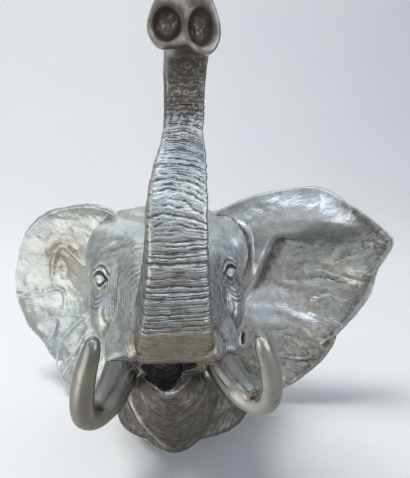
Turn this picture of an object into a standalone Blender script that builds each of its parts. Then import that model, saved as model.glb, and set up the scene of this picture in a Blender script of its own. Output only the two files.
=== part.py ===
"""Cast aluminium elephant head: trunk raised, ears spread, two tusks set in their sockets.

Metres, +Z up. The origin is in the middle of the flat cut under the neck. The head looks
along -Y, and its own right side is at -X.
"""
import math

import bmesh
import bpy
import numpy as np

# ---- driving dimensions -------------------------------------------------------------
VOXEL = 0.0026            # grid on which the overlapping forms are fused into one skin
SMOOTH_PASSES = 7
HEAD_TRIANGLES = 0.0360   # share of the fused skin's triangles that is kept
FIT_GAP = 0.0003          # between a tusk and its socket

EYE_SWELLING = (0.0140, 0.0130, 0.0100)
TRUNK_RIDGE = 0.0020      # raised strip along both edges of the trunk's flat face
RING_PITCH = 0.0120       # main rings across the trunk's flat face
RING_DEPTH = 0.0012
TRUNK_LEAN = 0.011        # how far the upper half swings towards +X
TIP_RETURN = 0.005        # how far the tip comes back

MOUTH_X = -0.0080
MOUTH_TOP_Z = 0.1460
MOUTH_HALF_WIDTH = 0.0275
LIP_Z = 0.1045
EAR_THICKNESS = 0.0060
# from the root in the socket to the tip
TUSK_RADII = [0.0165, 0.0180, 0.0182, 0.0166, 0.0136, 0.0118, 0.0108, 0.0098, 0.0080, 0.0048]

NECK_BASE = (0.020, 0.066)        # middle of the neck's cut
NECK_BASE_RADII = (0.091, 0.090)
THROAT_Y = 0.010                  # middle of the throat's bulge at the cut
THROAT_RADII = (0.041, 0.053)
BASE_CUT_DEPTH = 0.050


# ---- small helpers --------------------------------------------------------------------
def clear_scene():
    for item in list(bpy.data.objects):
        bpy.data.objects.remove(item, do_unlink=True)


def new_collection(name):
    collection = bpy.data.collections.new(name)
    bpy.context.scene.collection.children.link(collection)
    return collection


def metal(name, colour, roughness):
    material = bpy.data.materials.new(name)
    material.use_nodes = True
    shader = material.node_tree.nodes["Principled BSDF"]
    shader.inputs["Base Color"].default_value = (*colour, 1.0)
    shader.inputs["Metallic"].default_value = 1.0
    shader.inputs["Roughness"].default_value = roughness
    material.diffuse_color = (*colour, 1.0)
    return material


def spline(points, places):
    """Smooth open curve through the points, read at places between 0 and 1."""
    points = np.asarray(points, dtype=float)
    if points.ndim == 1:
        points = points[:, None]
    padded = np.vstack([2 * points[0] - points[1], points, 2 * points[-1] - points[-2]])
    spans = len(points) - 1
    where = np.clip(np.asarray(places, dtype=float), 0.0, 1.0) * spans
    index = np.minimum(where.astype(int), spans - 1)
    t = (where - index)[:, None]
    a, b, c, d = (padded[index + k] for k in range(4))
    return 0.5 * (2 * b + (c - a) * t + (2 * a - 5 * b + 4 * c - d) * t ** 2
                  + (3 * b - a - 3 * c + d) * t ** 3)


def unit(vectors):
    return vectors / np.linalg.norm(vectors, axis=-1, keepdims=True)


def smooth_step(value, low, high):
    t = np.clip((np.asarray(value, dtype=float) - low) / (high - low), 0.0, 1.0)
    return t * t * (3 - 2 * t)


def bump(value, centre, width):
    return np.exp(-((np.asarray(value, dtype=float) - centre) / width) ** 2)


def mesh_object(name, build, collection):
    """Make an object whose mesh the function build fills in."""
    mesh = bpy.data.meshes.new(name)
    form = bmesh.new()
    build(form)
    bmesh.ops.recalc_face_normals(form, faces=form.faces)
    form.to_mesh(mesh)
    form.free()
    item = bpy.data.objects.new(name, mesh)
    collection.objects.link(item)
    return item


def add_loft(form, rings):
    """Skin rings with equal numbers of points, and close both ends."""
    rows = [[form.verts.new(point) for point in ring] for ring in rings]
    count = len(rows[0])
    for lower, upper in zip(rows, rows[1:]):
        for k in range(count):
            j = (k + 1) % count
            form.faces.new((lower[k], lower[j], upper[j], upper[k]))
    form.faces.new(rows[0][::-1])
    form.faces.new(rows[-1])


def add_ellipsoid(form, centre, radii, tilt=0.0):
    """Ellipsoid turned by tilt degrees about X."""
    ball = bmesh.ops.create_uvsphere(form, u_segments=24, v_segments=14, radius=1.0)["verts"]
    c, s = math.cos(math.radians(tilt)), math.sin(math.radians(tilt))
    for vert in ball:
        x, y, z = (vert.co[k] * radii[k] for k in range(3))
        vert.co = (centre[0] + x, centre[1] + c * y - s * z, centre[2] + s * y + c * z)


def add_sheet(form, grid, thickness):
    """Close a rectangular grid of points into a plate of the given thickness."""
    grid = np.asarray(grid)
    across = np.gradient(grid, axis=0)
    along = np.gradient(grid, axis=1)
    normal = unit(np.cross(across, along) + 1e-12)
    front = grid + normal * thickness / 2
    back = grid - normal * thickness / 2
    rows, columns = grid.shape[:2]
    sides = [[[form.verts.new(point) for point in row] for row in face] for face in (front, back)]
    for r in range(rows - 1):
        for c in range(columns - 1):
            for face, flip in zip(sides, (False, True)):
                quad = [face[r][c], face[r][c + 1], face[r + 1][c + 1], face[r + 1][c]]
                form.faces.new(quad[::-1] if flip else quad)
    edge = [(r, 0) for r in range(rows)] + [(rows - 1, c) for c in range(1, columns)]
    edge += [(r, columns - 1) for r in range(rows - 2, -1, -1)]
    edge += [(0, c) for c in range(columns - 2, 0, -1)]
    for (r0, c0), (r1, c1) in zip(edge, edge[1:] + edge[:1]):
        form.faces.new((sides[0][r0][c0], sides[0][r1][c1], sides[1][r1][c1], sides[1][r0][c0]))


# ---- trunk ------------------------------------------------------------------------------
# Middle line of the trunk as (y, z), from inside the face up to the tip, which turns forward.
TRUNK_LINE = [(0.020, 0.120), (-0.026, 0.152), (-0.055, 0.182), (-0.080, 0.216), (-0.098, 0.250),
              (-0.110, 0.283), (-0.114, 0.316), (-0.106, 0.346), (-0.097, 0.374), (-0.094, 0.402),
              (-0.102, 0.428), (-0.124, 0.447), (-0.150, 0.4545), (-0.168, 0.4555)]
TRUNK_HALF_WIDTH = [0.038, 0.0425, 0.0398, 0.0360, 0.0308, 0.0270, 0.0252, 0.0222, 0.0174,
                    0.0168, 0.0170, 0.0172, 0.0176, 0.0180]
TRUNK_FRONT = [0.050, 0.048, 0.048, 0.047, 0.0430, 0.0390, 0.0345, 0.0280, 0.0215, 0.0190,
               0.0175, 0.0165, 0.0160, 0.0150]
TRUNK_BACK = [0.030, 0.030, 0.030, 0.028, 0.0260, 0.0250, 0.0240, 0.0220, 0.0195, 0.0180,
              0.0180, 0.0185, 0.0190, 0.0190]


def trunk_section(half_width, front, back, flatness, count=48):
    """Ring of (side, forward) pairs: flat towards the front, round at the back."""
    angle = np.linspace(0, 2 * np.pi, count, endpoint=False)
    side, forward = np.cos(angle), np.sin(angle)
    power = np.where(forward > 0, 2.0 / (2.0 + 6.5 * flatness), 1.0)
    side = np.sign(side) * np.abs(side) ** power
    depth = np.sign(forward) * np.abs(forward) ** power
    ridge = TRUNK_RIDGE * flatness * (bump(np.abs(side), 0.93, 0.10) - 0.55 * bump(side, 0, 0.6))
    depth = depth * np.where(forward > 0, front, back)
    depth = depth + np.where(forward > 0.3, ridge, 0.0)
    return side * half_width, depth


def trunk_rings():
    places = np.linspace(0, 1, 150)
    line = spline(TRUNK_LINE, places)
    line = np.column_stack([np.zeros(len(places)), line])
    line[:, 0] = TRUNK_LEAN * smooth_step(line[:, 2], 0.30, 0.40)
    line[:, 0] -= TIP_RETURN * smooth_step(places, 0.84, 1.0)
    half = spline(TRUNK_HALF_WIDTH, places)[:, 0]
    front = spline(TRUNK_FRONT, places)[:, 0]
    back = spline(TRUNK_BACK, places)[:, 0]
    tangent = unit(np.gradient(line, axis=0))
    side_axis = np.array([1.0, 0.0, 0.0])
    forward_axis = unit(np.cross(side_axis, tangent))
    forward_axis *= -np.sign(forward_axis[:1, 1:2])
    run = np.concatenate([[0], np.cumsum(np.linalg.norm(np.diff(line, axis=0), axis=1))])
    rings = []
    for k, place in enumerate(places):
        flatness = 0.85 - 0.70 * float(smooth_step(place, 0.80, 0.92))
        side, forward = trunk_section(half[k], front[k], back[k], flatness)
        ring_wave = RING_DEPTH * math.sin(2 * math.pi * run[k] / RING_PITCH)
        ring_wave *= float(smooth_step(place, 0.25, 0.40) - smooth_step(place, 0.78, 0.88))
        forward = forward + np.where(forward > 0, ring_wave, 0.0)
        rings.append(line[k] + np.outer(side, side_axis) + np.outer(forward, forward_axis[k]))
    return rings


# Outline of the trunk's tip as (x, z) from its middle: two lobes below, with a notch between them.
TIP_MIDDLE = (0.0052, 0.4500)
TIP_OUTLINE = [(0.000, 0.0288), (0.0130, 0.0262), (0.0205, 0.0150), (0.0254, 0.0010), (0.0250, -0.0095),
               (0.0190, -0.0180), (0.0110, -0.0180), (0.0020, -0.0130), (-0.0080, -0.0138),
               (-0.0165, -0.0148), (-0.0230, -0.0090), (-0.0254, 0.0010), (-0.0205, 0.0150),
               (-0.0130, 0.0262), (0.000, 0.0288)]
# y of a slice through the tip, and its share of the outline's size
TIP_SLICES = [(-0.128, 0.50), (-0.138, 0.66), (-0.146, 0.86), (-0.153, 0.97), (-0.160, 1.0),
              (-0.1655, 0.985), (-0.1678, 0.955), (-0.1688, 0.90)]


def tip_rings():
    """Flared end of the trunk, with a crisp lip all round."""
    outline = spline(TIP_OUTLINE, np.linspace(0, 1, 73)[:-1])
    rings = []
    for y, share in spline(TIP_SLICES, np.linspace(0, 1, 30)):
        rings.append([(TIP_MIDDLE[0] + share * x, y, TIP_MIDDLE[1] + share * z) for x, z in outline])
    return rings


def add_trunk(form):
    add_loft(form, trunk_rings())
    add_loft(form, tip_rings())


# ---- skull, face, neck and jaw -----------------------------------------------------------
EYES = {-1: (-0.0778, -0.0115, 0.2135), 1: (0.0720, -0.0150, 0.2150)}
# z, then y and half width at front, cheek, eye and side, then back y
FACE_LEVELS = [
    (0.132, -0.066, 0.033, -0.052, 0.052, -0.022, 0.066, 0.020, 0.074, 0.150),
    (0.150, -0.078, 0.035, -0.048, 0.058, -0.016, 0.074, 0.020, 0.084, 0.156),
    (0.172, -0.083, 0.035, -0.036, 0.064, -0.012, 0.080, 0.024, 0.091, 0.158),
    (0.196, -0.084, 0.033, -0.030, 0.062, -0.009, 0.084, 0.028, 0.094, 0.157),
    (0.220, -0.078, 0.030, -0.026, 0.059, -0.007, 0.083, 0.034, 0.093, 0.152),
    (0.242, -0.060, 0.030, -0.016, 0.056, 0.008, 0.078, 0.044, 0.088, 0.143),
    (0.260, -0.032, 0.030, 0.002, 0.054, 0.026, 0.069, 0.054, 0.078, 0.130),
    (0.273, 0.004, 0.026, 0.024, 0.044, 0.042, 0.055, 0.060, 0.060, 0.108),
]


def level_ring(z, front_y, front_half, cheek_y, cheek_half, eye_y, eye_half, side_y, side_half, back_y,
               count=64):
    """Horizontal slice of the head, the same on both sides."""
    half = [(0.0, front_y), (front_half, front_y + 0.002), (cheek_half, cheek_y), (eye_half, eye_y),
            (side_half, side_y), (side_half * 0.86, (side_y + 2 * back_y) / 3), (0.0, back_y)]
    right = spline(half, np.linspace(0, 1, count // 2 + 1))
    outline = np.vstack([right, right[-2:0:-1] * (-1, 1)])
    return [(x, y, z) for x, y in outline]


def add_skull(form):
    table = spline(FACE_LEVELS, np.linspace(0, 1, 40))
    add_loft(form, [level_ring(*row) for row in table])
    for side in (-1, 1):
        add_ellipsoid(form, (0.006 + side * 0.030, 0.072, 0.204), (0.060, 0.080, 0.0745))
        add_ellipsoid(form, (side * 0.070 + 0.004, 0.044, 0.222), (0.031, 0.040, 0.046))
        add_ellipsoid(form, (side * 0.050, 0.020, 0.2300), (0.034, 0.032, 0.0200), tilt=-20)
        add_ellipsoid(form, (side * 0.066, 0.006, 0.172), (0.027, 0.044, 0.042), tilt=18)
        x, y, z = EYES[side]
        add_ellipsoid(form, (x - side * 0.0090, y + 0.0090, z), EYE_SWELLING)
    add_ellipsoid(form, (0.005, 0.076, 0.205), (0.060, 0.080, 0.0745))


# x, centre y, centre z, half depth and half height of the swelling across the trunk's foot
LIP_SWELL = [(0.000, -0.0690, 0.1630, 0.0300, 0.0205), (0.020, -0.0690, 0.1630, 0.0300, 0.0205),
             (0.036, -0.0688, 0.1625, 0.0290, 0.0195), (0.046, -0.0680, 0.1590, 0.0245, 0.0160),
             (0.053, -0.0670, 0.1555, 0.0165, 0.0110), (0.0575, -0.0665, 0.1530, 0.0050, 0.0035)]
LIP_TILT = 0.07            # how much lower the swelling hangs on the left, for each metre sideways


def lip_rings(count=36):
    """Bar of flesh that widens the trunk's foot towards both tusks."""
    angle = np.linspace(0, 2 * np.pi, count, endpoint=False)
    half = spline(LIP_SWELL, np.linspace(0, 1, 25))
    rings = []
    for x, y, z, depth, height in np.vstack([half[::-1] * (-1, 1, 1, 1, 1), half[1:]]):
        rings.append(np.column_stack([np.full(count, x), y + depth * np.cos(angle),
                                      z - LIP_TILT * x + height * np.sin(angle)]))
    return rings


def socket_rings(side, count=32):
    """Sheath of skin that runs down to where a tusk comes out."""
    places = np.linspace(0, 1, 14)
    line = spline([(side * 0.030, 0.010, 0.178), (side * 0.040, -0.022, 0.162),
                   (side * 0.0465, -0.050, 0.149), (side * 0.0515, -0.0735, 0.1375)], places)
    radius = spline([0.031, 0.0315, 0.0275, 0.0208], places)[:, 0]
    tangent = unit(np.gradient(line, axis=0))
    across = unit(np.cross(tangent, [0.0, 0.0, 1.0]))
    upward = np.cross(across, tangent)
    angle = np.linspace(0, 2 * np.pi, count, endpoint=False)
    spoke = np.cos(angle)[None, :, None] * across[:, None] + np.sin(angle)[None, :, None] * upward[:, None]
    return list(line[:, None] + radius[:, None, None] * spoke)


# middle and radii of the flesh beside the mouth's corners
MOUTH_CORNERS = [((0.0300, -0.0550, 0.1320), (0.0115, 0.0290, 0.0170)),
                 ((-0.0410, -0.0550, 0.1320), (0.0075, 0.0280, 0.0160))]


def add_sockets(form):
    add_loft(form, lip_rings())
    for side in (-1, 1):
        add_loft(form, socket_rings(side))
    for middle, radii in MOUTH_CORNERS:
        add_ellipsoid(form, middle, radii)


# z, centre x, centre y, half width, half depth of the neck
NECK_LEVELS = [
    (-0.012, NECK_BASE[0], NECK_BASE[1], NECK_BASE_RADII[0] + 0.001, NECK_BASE_RADII[1] + 0.002),
    (0.000, NECK_BASE[0], NECK_BASE[1], *NECK_BASE_RADII),
    (0.028, 0.018, 0.064, 0.0855, 0.0870),
    (0.056, 0.012, 0.063, 0.0780, 0.0840),
    (0.086, 0.006, 0.062, 0.0745, 0.0840),
    (0.116, 0.002, 0.064, 0.0760, 0.0860),
    (0.150, 0.000, 0.069, 0.0790, 0.0880),
    (0.190, 0.002, 0.072, 0.0740, 0.0800),
]


def column_rings(levels, squareness, fold_height, fold_pitch, fold_sag):
    """Level rings of a column whose front carries hanging folds of loose skin."""
    table = spline(levels, np.linspace(0, 1, 44))
    angle = np.linspace(0, 2 * np.pi, 72, endpoint=False)
    side, forward = np.cos(angle), np.sin(angle)
    reach = np.abs(side) ** squareness + np.abs(forward) ** squareness
    side, forward = side / reach ** (1 / squareness), forward / reach ** (1 / squareness)
    front = smooth_step(-forward, -0.3, 0.8)
    rings = []
    for z, x, y, half, depth in table:
        fold = fold_height * np.sin(2 * math.pi * (z - fold_sag * side ** 2) / fold_pitch) * front
        rings.append(np.column_stack([x + (half + fold) * side, y + (depth + fold) * forward,
                                      np.full(len(angle), z)]))
    return rings


def add_neck(form):
    add_loft(form, column_rings(NECK_LEVELS, 2.6, 0.0018, 0.024, 0.012))


# z, centre x, centre y, half width, half depth of the throat's bulge
THROAT_LEVELS = [
    (-0.012, 0.004, THROAT_Y, THROAT_RADII[0], THROAT_RADII[1] + 0.001),
    (0.000, 0.004, THROAT_Y, *THROAT_RADII),
    (0.022, 0.003, 0.004, 0.0500, 0.0530),
    (0.048, 0.000, -0.004, 0.0575, 0.0570),
    (0.074, -0.003, -0.012, 0.0570, 0.0580),
    (0.094, -0.004, -0.018, 0.0490, 0.0570),
    (0.108, -0.005, -0.018, 0.0400, 0.0550),
    (0.120, -0.005, -0.010, 0.0320, 0.0440),
]


def add_throat(form):
    """Lower jaw, pointed in front, running down into the throat."""
    add_loft(form, column_rings(THROAT_LEVELS, 1.8, 0.0008, 0.019, 0.030))
    for side in (-1, 1):
        add_ellipsoid(form, (side * 0.044 - 0.004, -0.028, 0.110), (0.011, 0.032, 0.020), tilt=-8)


# ---- ears ---------------------------------------------------------------------------------
# Points (x, y, z) around the free edge, from the top of the root to the bottom of it.
EDGE_AT_PLUS_X = [(0.062, 0.058, 0.272), (0.103, 0.047, 0.291), (0.148, 0.036, 0.304),
                  (0.190, 0.024, 0.306), (0.226, 0.014, 0.287), (0.264, 0.004, 0.260),
                  (0.281, 0.000, 0.238), (0.267, 0.003, 0.206), (0.259, 0.006, 0.172),
                  (0.238, 0.011, 0.133), (0.2225, 0.015, 0.114), (0.219, 0.016, 0.098),
                  (0.206, 0.019, 0.075),
                  (0.176, 0.027, 0.042), (0.148, 0.036, 0.022), (0.104, 0.048, 0.018)]
EDGE_AT_MINUS_X = [(-0.048, 0.050, 0.268), (-0.080, 0.062, 0.283), (-0.122, 0.090, 0.278),
                   (-0.160, 0.120, 0.261), (-0.190, 0.142, 0.229), (-0.207, 0.155, 0.186),
                   (-0.215, 0.160, 0.150), (-0.212, 0.158, 0.118), (-0.191, 0.143, 0.078),
                   (-0.166, 0.122, 0.056), (-0.156, 0.108, 0.040), (-0.141, 0.092, 0.020),
                   (-0.118, 0.076, 0.012), (-0.086, 0.062, 0.020)]
ROOT_AT_PLUS_X = [(0.060, 0.066, 0.262), (0.082, 0.058, 0.200), (0.078, 0.058, 0.120),
                  (0.082, 0.058, 0.040)]
ROOT_AT_MINUS_X = [(-0.046, 0.066, 0.258), (-0.080, 0.058, 0.200), (-0.072, 0.062, 0.120),
                   (-0.060, 0.066, 0.040)]


# The wide ear's raised part ends on a line that climbs the front fold and then runs under the roll.
FOLD_FOOT = (0.110, 0.154)
FOLD_TOP = (0.153, 0.2423)
ROLL_RISE = 0.115


def relief_at_plus_x(s, t, x, z):
    """Forward swell of the wide ear: rolled upper edge, front fold, deep cup, shelf and lower lobe."""
    slope = (FOLD_TOP[0] - FOLD_FOOT[0]) / (FOLD_TOP[1] - FOLD_FOOT[1])
    beyond_fold = x - FOLD_FOOT[0] - slope * (z - FOLD_FOOT[1])
    above_roll = z - FOLD_TOP[1] - ROLL_RISE * (x - FOLD_TOP[0])
    fold = (1 - smooth_step(beyond_fold, -0.011, 0.005)) * smooth_step(z, 0.145, 0.185)
    softer = 1 + 2.2 * smooth_step(x, 0.155, 0.215)
    roll = smooth_step(above_roll / softer, -0.008, 0.010) * (1 - smooth_step(x, 0.205, 0.262))
    raised = 1 - (1 - fold) * (1 - roll)
    edge = np.array(EDGE_AT_PLUS_X)
    to_top = np.interp(x, edge[:6, 0], edge[:6, 2]) - z
    swell = 0.017 * raised * smooth_step(to_top, -0.004, 0.040) * smooth_step(s, 0.0, 0.08)
    deep = np.clip((t - 0.16) / 0.84, 0, 1)
    cup = -0.027 * np.sin(np.pi * np.clip(s * 1.02, 0, 1)) ** 0.7 * np.sin(np.pi * deep) ** 0.7
    shelf = 0.018 * smooth_step(t, 0.48, 0.68) * (1 - smooth_step(t, 0.80, 1.0)) * np.sin(np.pi * s) ** 0.7
    groove = -0.0045 * bump(beyond_fold, 0.007, 0.0075) * smooth_step(z, 0.150, 0.175)
    return cup * (1 - 0.8 * raised) + swell + shelf + groove * (1 - smooth_step(z, 0.225, 0.245))


def relief_at_minus_x(s, t, x, z):
    """Forward swell of the swept ear: peaked fold in the upper half, cup, ribs at the bottom."""
    cup = -0.020 * np.sin(np.pi * np.clip(s, 0, 1)) ** 0.8 * np.sin(np.pi * t) ** 0.6
    fold = 0.009 * bump(t, 0.28, 0.14) * bump(s, 0.50, 0.36)
    hollow = -0.004 * bump(t, 0.44, 0.13) * bump(s, 0.38, 0.26)
    ribs = 0.0022 * np.sin(2 * np.pi * t * 9) * smooth_step(t, 0.5, 0.65) * smooth_step(s, 0.2, 0.8)
    return cup + fold + hollow + ribs


def ear_grid(edge, root, relief):
    across = np.linspace(0, 1, 40)
    along = np.linspace(0, 1, 60)
    outer = spline(edge, along)
    inner = spline(root, along)
    grid = inner[None] + (outer - inner)[None] * across[:, None, None]
    s, t = np.meshgrid(across, along, indexing="ij")
    outward = outer[len(outer) // 2] - inner[len(inner) // 2]
    forward = unit(np.cross(outward, [0.0, 0.0, 1.0]) * np.sign(outward[0]))
    return grid + relief(s, t, grid[..., 0], grid[..., 2])[..., None] * forward


def add_ears(form):
    add_sheet(form, ear_grid(EDGE_AT_PLUS_X, ROOT_AT_PLUS_X, relief_at_plus_x), EAR_THICKNESS)
    add_sheet(form, ear_grid(EDGE_AT_MINUS_X, ROOT_AT_MINUS_X, relief_at_minus_x), EAR_THICKNESS)


# ---- tusks ----------------------------------------------------------------------------------
TUSK_LINE = [(0.038, -0.030, 0.156), (0.0455, -0.052, 0.143), (0.0535, -0.075, 0.131),
             (0.0640, -0.098, 0.1205), (0.0762, -0.1185, 0.1175), (0.0838, -0.1355, 0.128),
             (0.0838, -0.149, 0.151), (0.0785, -0.159, 0.178), (0.0700, -0.168, 0.204),
             (0.0655, -0.1715, 0.2155)]
TIP_SHIFT = {-1: (0.0035, 0.0, 0.0075), 1: (-0.0015, 0.0, -0.0010)}   # the two differ slightly
ROOT_SHIFT = {-1: (0.0080, 0.0, 0.0), 1: (0.0, 0.0, 0.0)}


def tusk_rings(side, extra=0.0, lower_end=0.0, count=16):
    places = np.linspace(0, 1, 28)
    line = spline(TUSK_LINE, places)
    line = line + np.outer(places ** 3, TIP_SHIFT[side]) + np.outer((1 - places) ** 3, ROOT_SHIFT[side])
    line = line * (side, 1, 1)
    tangent = unit(np.gradient(line, axis=0))
    across = unit(np.cross(tangent, [1.0, 0.0, 0.0]))
    other = np.cross(across, tangent)
    radius = spline(TUSK_RADII, places)[:, 0]
    radius *= np.sqrt(np.clip(1 - np.clip((places - 0.965) / 0.036, 0, 1) ** 2, 0, 1))
    line[0] -= tangent[0] * lower_end
    angle = np.linspace(0, 2 * np.pi, count, endpoint=False)
    spoke = np.cos(angle)[None, :, None] * across[:, None] + np.sin(angle)[None, :, None] * other[:, None]
    return list(line[:, None] + (radius[:, None, None] + extra) * spoke)


def tusk(name, side, material, collection, **options):
    item = mesh_object(name, lambda form: add_loft(form, tusk_rings(side, **options)), collection)
    item.data.materials.append(material)
    return item


# ---- cutters -----------------------------------------------------------------------------------
def add_mouth(form):
    """Wedge of hollow under the trunk's foot: wide at the top, narrow at the lower lip."""
    rings = []
    for y in np.linspace(-0.112, -0.022, 12):
        open_part = float(smooth_step(y, -0.022, -0.056))
        half = MOUTH_HALF_WIDTH * (0.36 + 0.64 * open_part)
        top = MOUTH_TOP_Z - 0.010 * (1 - open_part)
        low = LIP_Z + 0.10 * (y + 0.075) + 0.014 * (1 - open_part)
        rise = top - low
        outline = [(-half, low + 0.80 * rise), (-half * 0.94, top - 0.002), (-half * 0.75, top),
                   (half * 0.85, top), (half * 1.04, top - 0.003), (half, low + 0.72 * rise),
                   (half * 0.50, low + 0.24 * rise), (-half * 0.15, low), (-half * 0.62, low + 0.24 * rise),
                   (-half, low + 0.80 * rise)]
        ring = spline(outline, np.linspace(0, 1, 41)[:-1])
        rings.append([(x + MOUTH_X, y, z - LIP_TILT * x) for x, z in ring])
    add_loft(form, rings)


def add_mouth_floor(form):
    add_ellipsoid(form, (MOUTH_X - 0.002, -0.046, 0.1150), (0.0225, 0.0210, 0.0150))


# x, z, half width and half height of each nostril
NOSTRILS = [(-0.0068, 0.4500, 0.0098, 0.0108), (0.0163, 0.4485, 0.0088, 0.0126)]


def add_pits(form):
    for x, z, width, height in NOSTRILS:
        add_ellipsoid(form, (x, -0.1700, z), (width, 0.0105, height), tilt=-6)


def add_dishes(form):
    """Wider hollows that round the rims of the two pits."""
    for x, z, width, height in NOSTRILS:
        middle = (x + 0.15 * (x - TIP_MIDDLE[0]), -0.1745, z - 0.0012)
        add_ellipsoid(form, middle, (1.30 * width, 0.0098, 1.26 * height))


def add_ground(form):
    cube = bmesh.ops.create_cube(form, size=1.0)["verts"]
    for vert in cube:
        vert.co = (vert.co.x * 0.8, vert.co.y * 0.8, (vert.co.z - 0.5) * BASE_CUT_DEPTH)


def make_cutter(name, build, collection):
    item = mesh_object(name, build, collection)
    item.hide_render = True
    item.display_type = "WIRE"
    return item


def cut(item, cutter):
    modifier = item.modifiers.new("cut_" + cutter.name, "BOOLEAN")
    modifier.operation = "DIFFERENCE"
    modifier.object = cutter


def remesh(item, name):
    modifier = item.modifiers.new(name, "REMESH")
    modifier.mode = "VOXEL"
    modifier.voxel_size = VOXEL
    modifier.use_smooth_shade = True


# ---- the casting -----------------------------------------------------------------------------
def add_head_forms(form):
    add_trunk(form)
    add_skull(form)
    add_neck(form)
    add_throat(form)
    add_ears(form)
    add_sockets(form)


def make_head(parts, cutters):
    head = mesh_object("head_casting", add_head_forms, parts)
    head.data.materials.append(metal("cast_aluminium", (0.56, 0.56, 0.55), 0.42))
    remesh(head, "fuse")
    cut(head, make_cutter("mouth", add_mouth, cutters))
    cut(head, make_cutter("mouth_floor", add_mouth_floor, cutters))
    cut(head, make_cutter("nostril_dishes", add_dishes, cutters))
    remesh(head, "round_edges")
    smooth = head.modifiers.new("soften", "SMOOTH")
    smooth.factor = 0.5
    smooth.iterations = SMOOTH_PASSES
    reduce = head.modifiers.new("reduce", "DECIMATE")
    reduce.ratio = HEAD_TRIANGLES
    reduce.use_collapse_triangulate = True
    cut(head, make_cutter("nostril_pits", add_pits, cutters))
    cut(head, make_cutter("ground", add_ground, cutters))
    for side, name in ((-1, "socket_right"), (1, "socket_left")):
        rings = tusk_rings(side, extra=FIT_GAP, lower_end=FIT_GAP)
        cut(head, make_cutter(name, lambda form, rings=rings: add_loft(form, rings), cutters))
    return head


def main():
    clear_scene()
    parts = new_collection("elephant_head")
    cutters = new_collection("cutters")
    make_head(parts, cutters)
    tusk_metal = metal("tusk_aluminium", (0.50, 0.47, 0.43), 0.25)
    tusk("tusk_right", -1, tusk_metal, parts)
    tusk("tusk_left", 1, tusk_metal, parts)


main()
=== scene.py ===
"""Looks of the cast aluminium elephant head: fine skin relief, worn metal with painted shade and highlight,
studio and camera.

The head's forms are built again here at a finer grain than the CAD solids, fused into one skin,
and then carved: rings on the trunk, wrinkles round its root, eyes, veins and folds in the ears,
hanging creases on the throat. +Z is up and the head looks along -Y. Lengths are in metres, but
those inside mm() and strokes() are in millimetres.
"""

import math

import bmesh
import bpy
import numpy as np
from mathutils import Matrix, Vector
from mathutils.kdtree import KDTree


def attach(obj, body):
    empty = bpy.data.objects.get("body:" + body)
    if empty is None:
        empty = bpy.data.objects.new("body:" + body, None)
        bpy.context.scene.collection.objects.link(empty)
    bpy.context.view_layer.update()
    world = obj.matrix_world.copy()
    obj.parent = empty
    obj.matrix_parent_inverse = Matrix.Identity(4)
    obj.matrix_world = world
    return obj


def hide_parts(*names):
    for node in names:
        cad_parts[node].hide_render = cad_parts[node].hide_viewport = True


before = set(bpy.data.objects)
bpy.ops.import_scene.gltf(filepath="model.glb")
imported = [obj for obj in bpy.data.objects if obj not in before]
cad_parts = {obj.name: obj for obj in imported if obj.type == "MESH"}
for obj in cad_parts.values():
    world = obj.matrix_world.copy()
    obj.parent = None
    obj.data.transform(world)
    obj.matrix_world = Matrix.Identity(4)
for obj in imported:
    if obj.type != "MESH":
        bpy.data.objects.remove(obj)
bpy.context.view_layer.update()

# ---- driving sizes ----
VOXEL = 0.001   # grid on which the forms are fused
SKIN_TRIANGLES = 196000
SOFTEN_PASSES = 4
BLEND_PASSES = 45     # for the rounder parts of the face
PLAIN_WEIGHT = 0.000004     # how much sooner plain skin is thinned out than carved skin
FIT_GAP = 0.0003

EYE_SIZE = 0.0098          # half length of the opening between the lids
TRUNK_RIDGE = 0.0014       # raised strip along both edges of the trunk's flat face
TRUNK_LEAN = 0.011
TIP_RETURN = 0.005
MOUTH_X = -0.008
MOUTH_TOP_Z = 0.146
MOUTH_HALF_WIDTH = 0.0275
LIP_Z = 0.1045
EAR_THICKNESS = 0.006
TUSK_RADII = [0.0165, 0.018, 0.0182, 0.0166, 0.0136, 0.0118, 0.0108, 0.0098, 0.008, 0.0048]
NECK_BASE = (0.02, 0.066)
NECK_BASE_RADII = (0.091, 0.09)
THROAT_Y = 0.01
THROAT_RADII = (0.041, 0.053)


# ---- numbers and curves ----
def spline(points, places):
    """Smooth open curve through the points, read at places between 0 and 1."""
    points = np.asarray(points, dtype=float)
    if points.ndim == 1:
        points = points[:, None]
    padded = np.vstack([2 * points[0] - points[1], points, 2 * points[-1] - points[-2]])
    spans = len(points) - 1
    where = np.clip(np.asarray(places, dtype=float), 0.0, 1.0) * spans
    index = np.minimum(where.astype(int), spans - 1)
    t = (where - index)[:, None]
    a, b, c, d = (padded[index + k] for k in range(4))
    return 0.5 * (2 * b + (c - a) * t + (2 * a - 5 * b + 4 * c - d) * t ** 2
                  + (3 * b - a - 3 * c + d) * t ** 3)


def unit(vectors):
    return vectors / (np.linalg.norm(vectors, axis=-1, keepdims=True) + 1e-12)


def ease(value, low, high):
    """From 0 at low to 1 at high, with a soft start and end."""
    t = np.clip((np.asarray(value, dtype=float) - low) / (high - low), 0.0, 1.0)
    return t * t * (3 - 2 * t)


def bump(value, centre, width):
    return np.exp(-((np.asarray(value, dtype=float) - centre) / width) ** 2)


def window(value, start, full, end_full, end):
    """1 between full and end_full, and 0 before start and after end."""
    return ease(value, start, full) * (1 - ease(value, end_full, end))


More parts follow.
